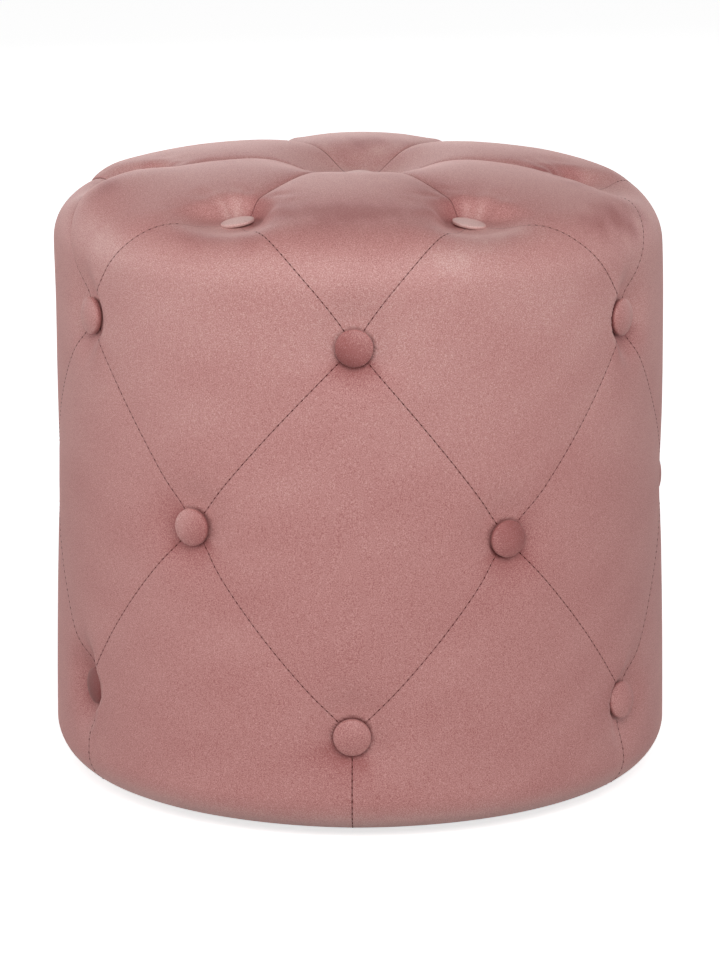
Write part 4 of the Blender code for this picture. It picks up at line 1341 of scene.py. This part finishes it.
class POUF_OT_close_base(bpy.types.Operator):
    """Staples the dust cover under the base and nails the glides on"""

    bl_idname = "pouf.close_base"
    bl_label = "Close base"

    def execute(self, context):
        settings = context.scene.pouf
        base, look = settings.base, settings.look
        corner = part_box("dust_cover")[1]
        radius = corner.x
        # spun-bonded polypropylene: black, with the soft dimples of its bonding
        lining = grained_material("spunbonded_lining", look.lining, dark=0.6, millimetres=1.5, roughness=0.95)
        # galvanised steel wire: bright and even, with a faint mottle
        steel = grained_material(
            "galvanised_steel", look.steel, dark=0.85, millimetres=1.0, roughness=0.4, metallic=1.0
        )
        # moulded nylon: near black, with a soft gloss
        nylon = grained_material("moulded_nylon", look.nylon, dark=0.7, millimetres=2.0, roughness=0.45)
        sheet = self.lay_lining(base, radius, corner.z, lining)
        staples = self.set_staples(base, radius - base.staple_inset, corner.z - base.lining_thickness, steel)
        self.nail_glides(context, base, nylon, steel)
        return {"FINISHED"}

    def lay_lining(self, base, radius, top, material):
        """A round sheet, drawn up a little at each staple."""
        rings, spokes = LINING_RINGS, LINING_SPOKES * base.staples
        out = np.linspace(0, 1, rings)[1:, None] ** RING_SPREAD
        angle = np.arange(spokes)[None, :] * math.tau / spokes
        sag = LINING_SAG * out**SAG_FALL * (0.5 - 0.5 * np.cos(angle * base.staples))
        flat = np.stack([radius * out * np.sin(angle), -radius * out * np.cos(angle), top - sag], axis=-1)
        points = np.concatenate([[[0, 0, top]], flat.reshape(-1, 3)])
        below = points - (0, 0, base.lining_thickness)
        spoke = np.arange(spokes)
        after = np.roll(spoke, -1)
        fan = np.stack([0 * spoke, 1 + spoke, 1 + after], axis=-1)
        starts = 1 + spokes * np.arange(rings - 1)[:, None]
        inner, outer = starts[:-1], starts[1:]
        quads = np.stack([inner + spoke, outer + spoke, outer + after, inner + after], axis=-1).reshape(-1, 4)
        count, edge = len(points), starts[-1]
        rim = np.stack([edge + spoke, edge + spoke + count, edge + after + count, edge + after], axis=-1)
        parts = (fan, fan[:, ::-1] + count, quads, quads[:, ::-1] + count, rim)
        faces = [face for part in parts for face in part.tolist()]
        sheet = new_piece("dust_cover_lining", np.concatenate([points, below]), faces, material)
        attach(sheet, BODY)
        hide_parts("dust_cover")
        return sheet

    def set_staples(self, base, radius, level, material):
        """The crowns of the staples, in a ring against the dust cover."""
        deselect()
        bpy.ops.mesh.primitive_cube_add(size=1)
        crown = bpy.context.object
        crown.scale = (base.staple_width, 2 * base.staple_wire, base.staple_wire)
        bpy.ops.object.transform_apply(location=True, rotation=True, scale=True)
        bevel_edges(base.staple_wire * STAPLE_BEVEL)
        points, faces = take_shape(crown)
        places = []
        for index in range(base.staples):
            angle = index * math.tau / base.staples
            drop = STAPLE_DROP * base.staple_wire
            spot = (radius * math.sin(angle), -radius * math.cos(angle), level - drop)
            places.append(np.array(Matrix.Translation(spot) @ Matrix.Rotation(angle, 4, "Z")))
        all_points, all_faces = copies(points, faces, np.array(places))
        staples = new_piece("base_staples", all_points, all_faces.tolist(), material)
        staples.data.shade_flat()
        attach(staples, BODY)
        return staples

    def nail_glides(self, context, base, nylon, steel):
        """Moulded glides with a rounded foot, a hollow round the nail's head, and the nail."""
        low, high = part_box("glide_1")
        radius, foot = (high.x - low.x) / 2, GLIDE_FOOT
        model = cylinder(vertices=40, radius=radius, depth=foot, location=(0, 0, foot / 2))
        model.data.materials.append(nylon)
        model.data.materials.append(steel)
        bpy.ops.object.mode_set(mode="EDIT")
        select_cap(model, -1)
        bpy.ops.mesh.bevel(offset=base.glide_edge, segments=4, affect="EDGES")
        select_cap(model, -1)
        bpy.ops.mesh.inset(thickness=radius * GLIDE_RING, depth=0.0)
        bpy.ops.mesh.inset(thickness=radius * NAIL_RING, depth=-NAIL_HOLLOW)
        model.active_material_index = 1
        bpy.ops.object.material_slot_assign()
        bpy.ops.mesh.select_all(action="DESELECT")
        bpy.ops.mesh.primitive_cylinder_add(
            vertices=12, radius=base.nail_radius, depth=high.z - foot, location=(0, 0, (foot + high.z) / 2)
        )
        bpy.ops.object.material_slot_assign()
        bpy.ops.object.mode_set(mode="OBJECT")
        model.data.shade_smooth()
        model.data.set_sharp_from_angle(angle=GLIDE_SHARP)
        for number in range(1, GLIDES + 1):
            low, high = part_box(f"glide_{number}")
            glide = link_piece(f"glide_{number}_nylon", model.data.copy())
            glide.data.transform(Matrix.Translation(((low.x + high.x) / 2, (low.y + high.y) / 2, 0)))
            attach(glide, BODY)
            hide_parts(f"glide_{number}")
        bpy.data.objects.remove(model)


class POUF_OT_set_stage(bpy.types.Operator):
    """Sets up the floor, the light and the camera"""

    bl_idname = "pouf.set_stage"
    bl_label = "Set stage"

    def execute(self, context):
        stage = context.scene.pouf.stage
        context.scene.view_settings.view_transform = "Standard"
        self.lay_floor(stage)
        self.light(context, stage)
        aim = Vector((0, 0, stage.aim))
        back = Vector((
            math.sin(stage.yaw) * math.cos(stage.elevation),
            -math.cos(stage.yaw) * math.cos(stage.elevation),
            math.sin(stage.elevation),
        ))
        bpy.ops.object.camera_add(location=aim + stage.distance * back)
        camera = context.object
        camera.rotation_euler = (-back).to_track_quat("-Z", "Y").to_euler()
        camera.data.lens = stage.lens
        context.scene.camera = camera
        return {"FINISHED"}

    def lay_floor(self, stage):
        """White paper: bright to the camera, and dimmer in the light that it throws back."""
        deselect()
        bpy.ops.mesh.primitive_plane_add(size=FLOOR_SIZE)
        floor = bpy.context.object
        floor.name = "studio_floor"
        material, tree = new_material("white_paper_sweep")
        seen = add_node(tree, "ShaderNodeLightPath").outputs["Is Camera Ray"]
        paper = add_node(tree, "ShaderNodeBsdfDiffuse", {"Color": linear(stage.paper)})
        dim_paper = add_node(tree, "ShaderNodeBsdfDiffuse", {"Color": linear(stage.dim_paper)})
        glow_values = {"Color": linear(stage.glow), "Strength": stage.glow_strength}
        glow = add_node(tree, "ShaderNodeEmission", glow_values)
        both = add_node(tree, "ShaderNodeAddShader", {0: paper.outputs["BSDF"], 1: glow.outputs["Emission"]})
        faces = {"Fac": seen, 1: dim_paper.outputs["BSDF"], 2: both.outputs["Shader"]}
        shown = add_node(tree, "ShaderNodeMixShader", faces)
        add_node(tree, "ShaderNodeOutputMaterial", {"Surface": shown.outputs["Shader"]})
        floor.data.materials.append(material)

    def light(self, context, stage):
        """A white room that is darker above, and four lamps."""
        world = bpy.data.worlds.new("studio")
        world.use_nodes = True
        context.scene.world = world
        tree = world.node_tree
        tree.nodes.clear()
        seen = add_node(tree, "ShaderNodeLightPath").outputs["Is Camera Ray"]
        place = add_node(tree, "ShaderNodeTexCoord").outputs["Generated"]
        height = add_node(tree, "ShaderNodeSeparateXYZ", {"Vector": place}).outputs["Z"]
        level = add_node(
            tree,
            "ShaderNodeMapRange",
            {"Value": height, "From Max": OVERHEAD_FROM, "To Min": stage.fill, "To Max": stage.overhead},
        )
        plain = {"Color": (1, 1, 1, 1), "Strength": 1.0}
        room = add_node(tree, "ShaderNodeBackground", {**plain, "Strength": level.outputs["Result"]})
        white = add_node(tree, "ShaderNodeBackground", plain)
        skies = {"Fac": seen, 1: room.outputs["Background"], 2: white.outputs["Background"]}
        shown = add_node(tree, "ShaderNodeMixShader", skies)
        add_node(tree, "ShaderNodeOutputWorld", {"Surface": shown.outputs["Shader"]})
        for name, place, width, height in LAMPS:
            bpy.ops.object.light_add(type="AREA", location=place)
            lamp = context.object
            lamp.name = f"studio_{name}"
            lamp.data.shape = "RECTANGLE"
            lamp.data.size, lamp.data.size_y = width, height
            lamp.data.energy = getattr(stage, f"{name}_power")
            lamp.rotation_euler = (LAMP_AIM - Vector(place)).to_track_quat("-Z", "Y").to_euler()


OPERATORS = (
    POUF_OT_sew_cover,
    POUF_OT_stitch_seams,
    POUF_OT_tie_buttons,
    POUF_OT_tie_twine,
    POUF_OT_pad_body,
    POUF_OT_finish_carcass,
    POUF_OT_close_base,
    POUF_OT_set_stage,
)


class POUF_PT_steps(bpy.types.Panel):
    """The steps that dress the pouf"""

    bl_label = "Pouf"
    bl_idname = "POUF_PT_steps"
    bl_space_type = "VIEW_3D"
    bl_region_type = "UI"
    bl_category = "Pouf"

    def draw(self, context):
        for operator in OPERATORS:
            self.layout.operator(operator.bl_idname)


CLASSES = (CoverSizes, ButtonSizes, ClothLook, BaseSizes, StageSizes, PoufSettings, *OPERATORS, POUF_PT_steps)


def register():
    for one in CLASSES:
        bpy.utils.register_class(one)
    bpy.types.Scene.pouf = PointerProperty(type=PoufSettings)


def unregister():
    del bpy.types.Scene.pouf
    for one in reversed(CLASSES):
        bpy.utils.unregister_class(one)


def main():
    register()
    bpy.ops.pouf.sew_cover()
    bpy.ops.pouf.stitch_seams()
    bpy.ops.pouf.tie_buttons()
    bpy.ops.pouf.tie_twine()
    bpy.ops.pouf.pad_body()
    bpy.ops.pouf.finish_carcass()
    bpy.ops.pouf.close_base()
    bpy.ops.pouf.set_stage()


if __name__ == "__main__":
    main()
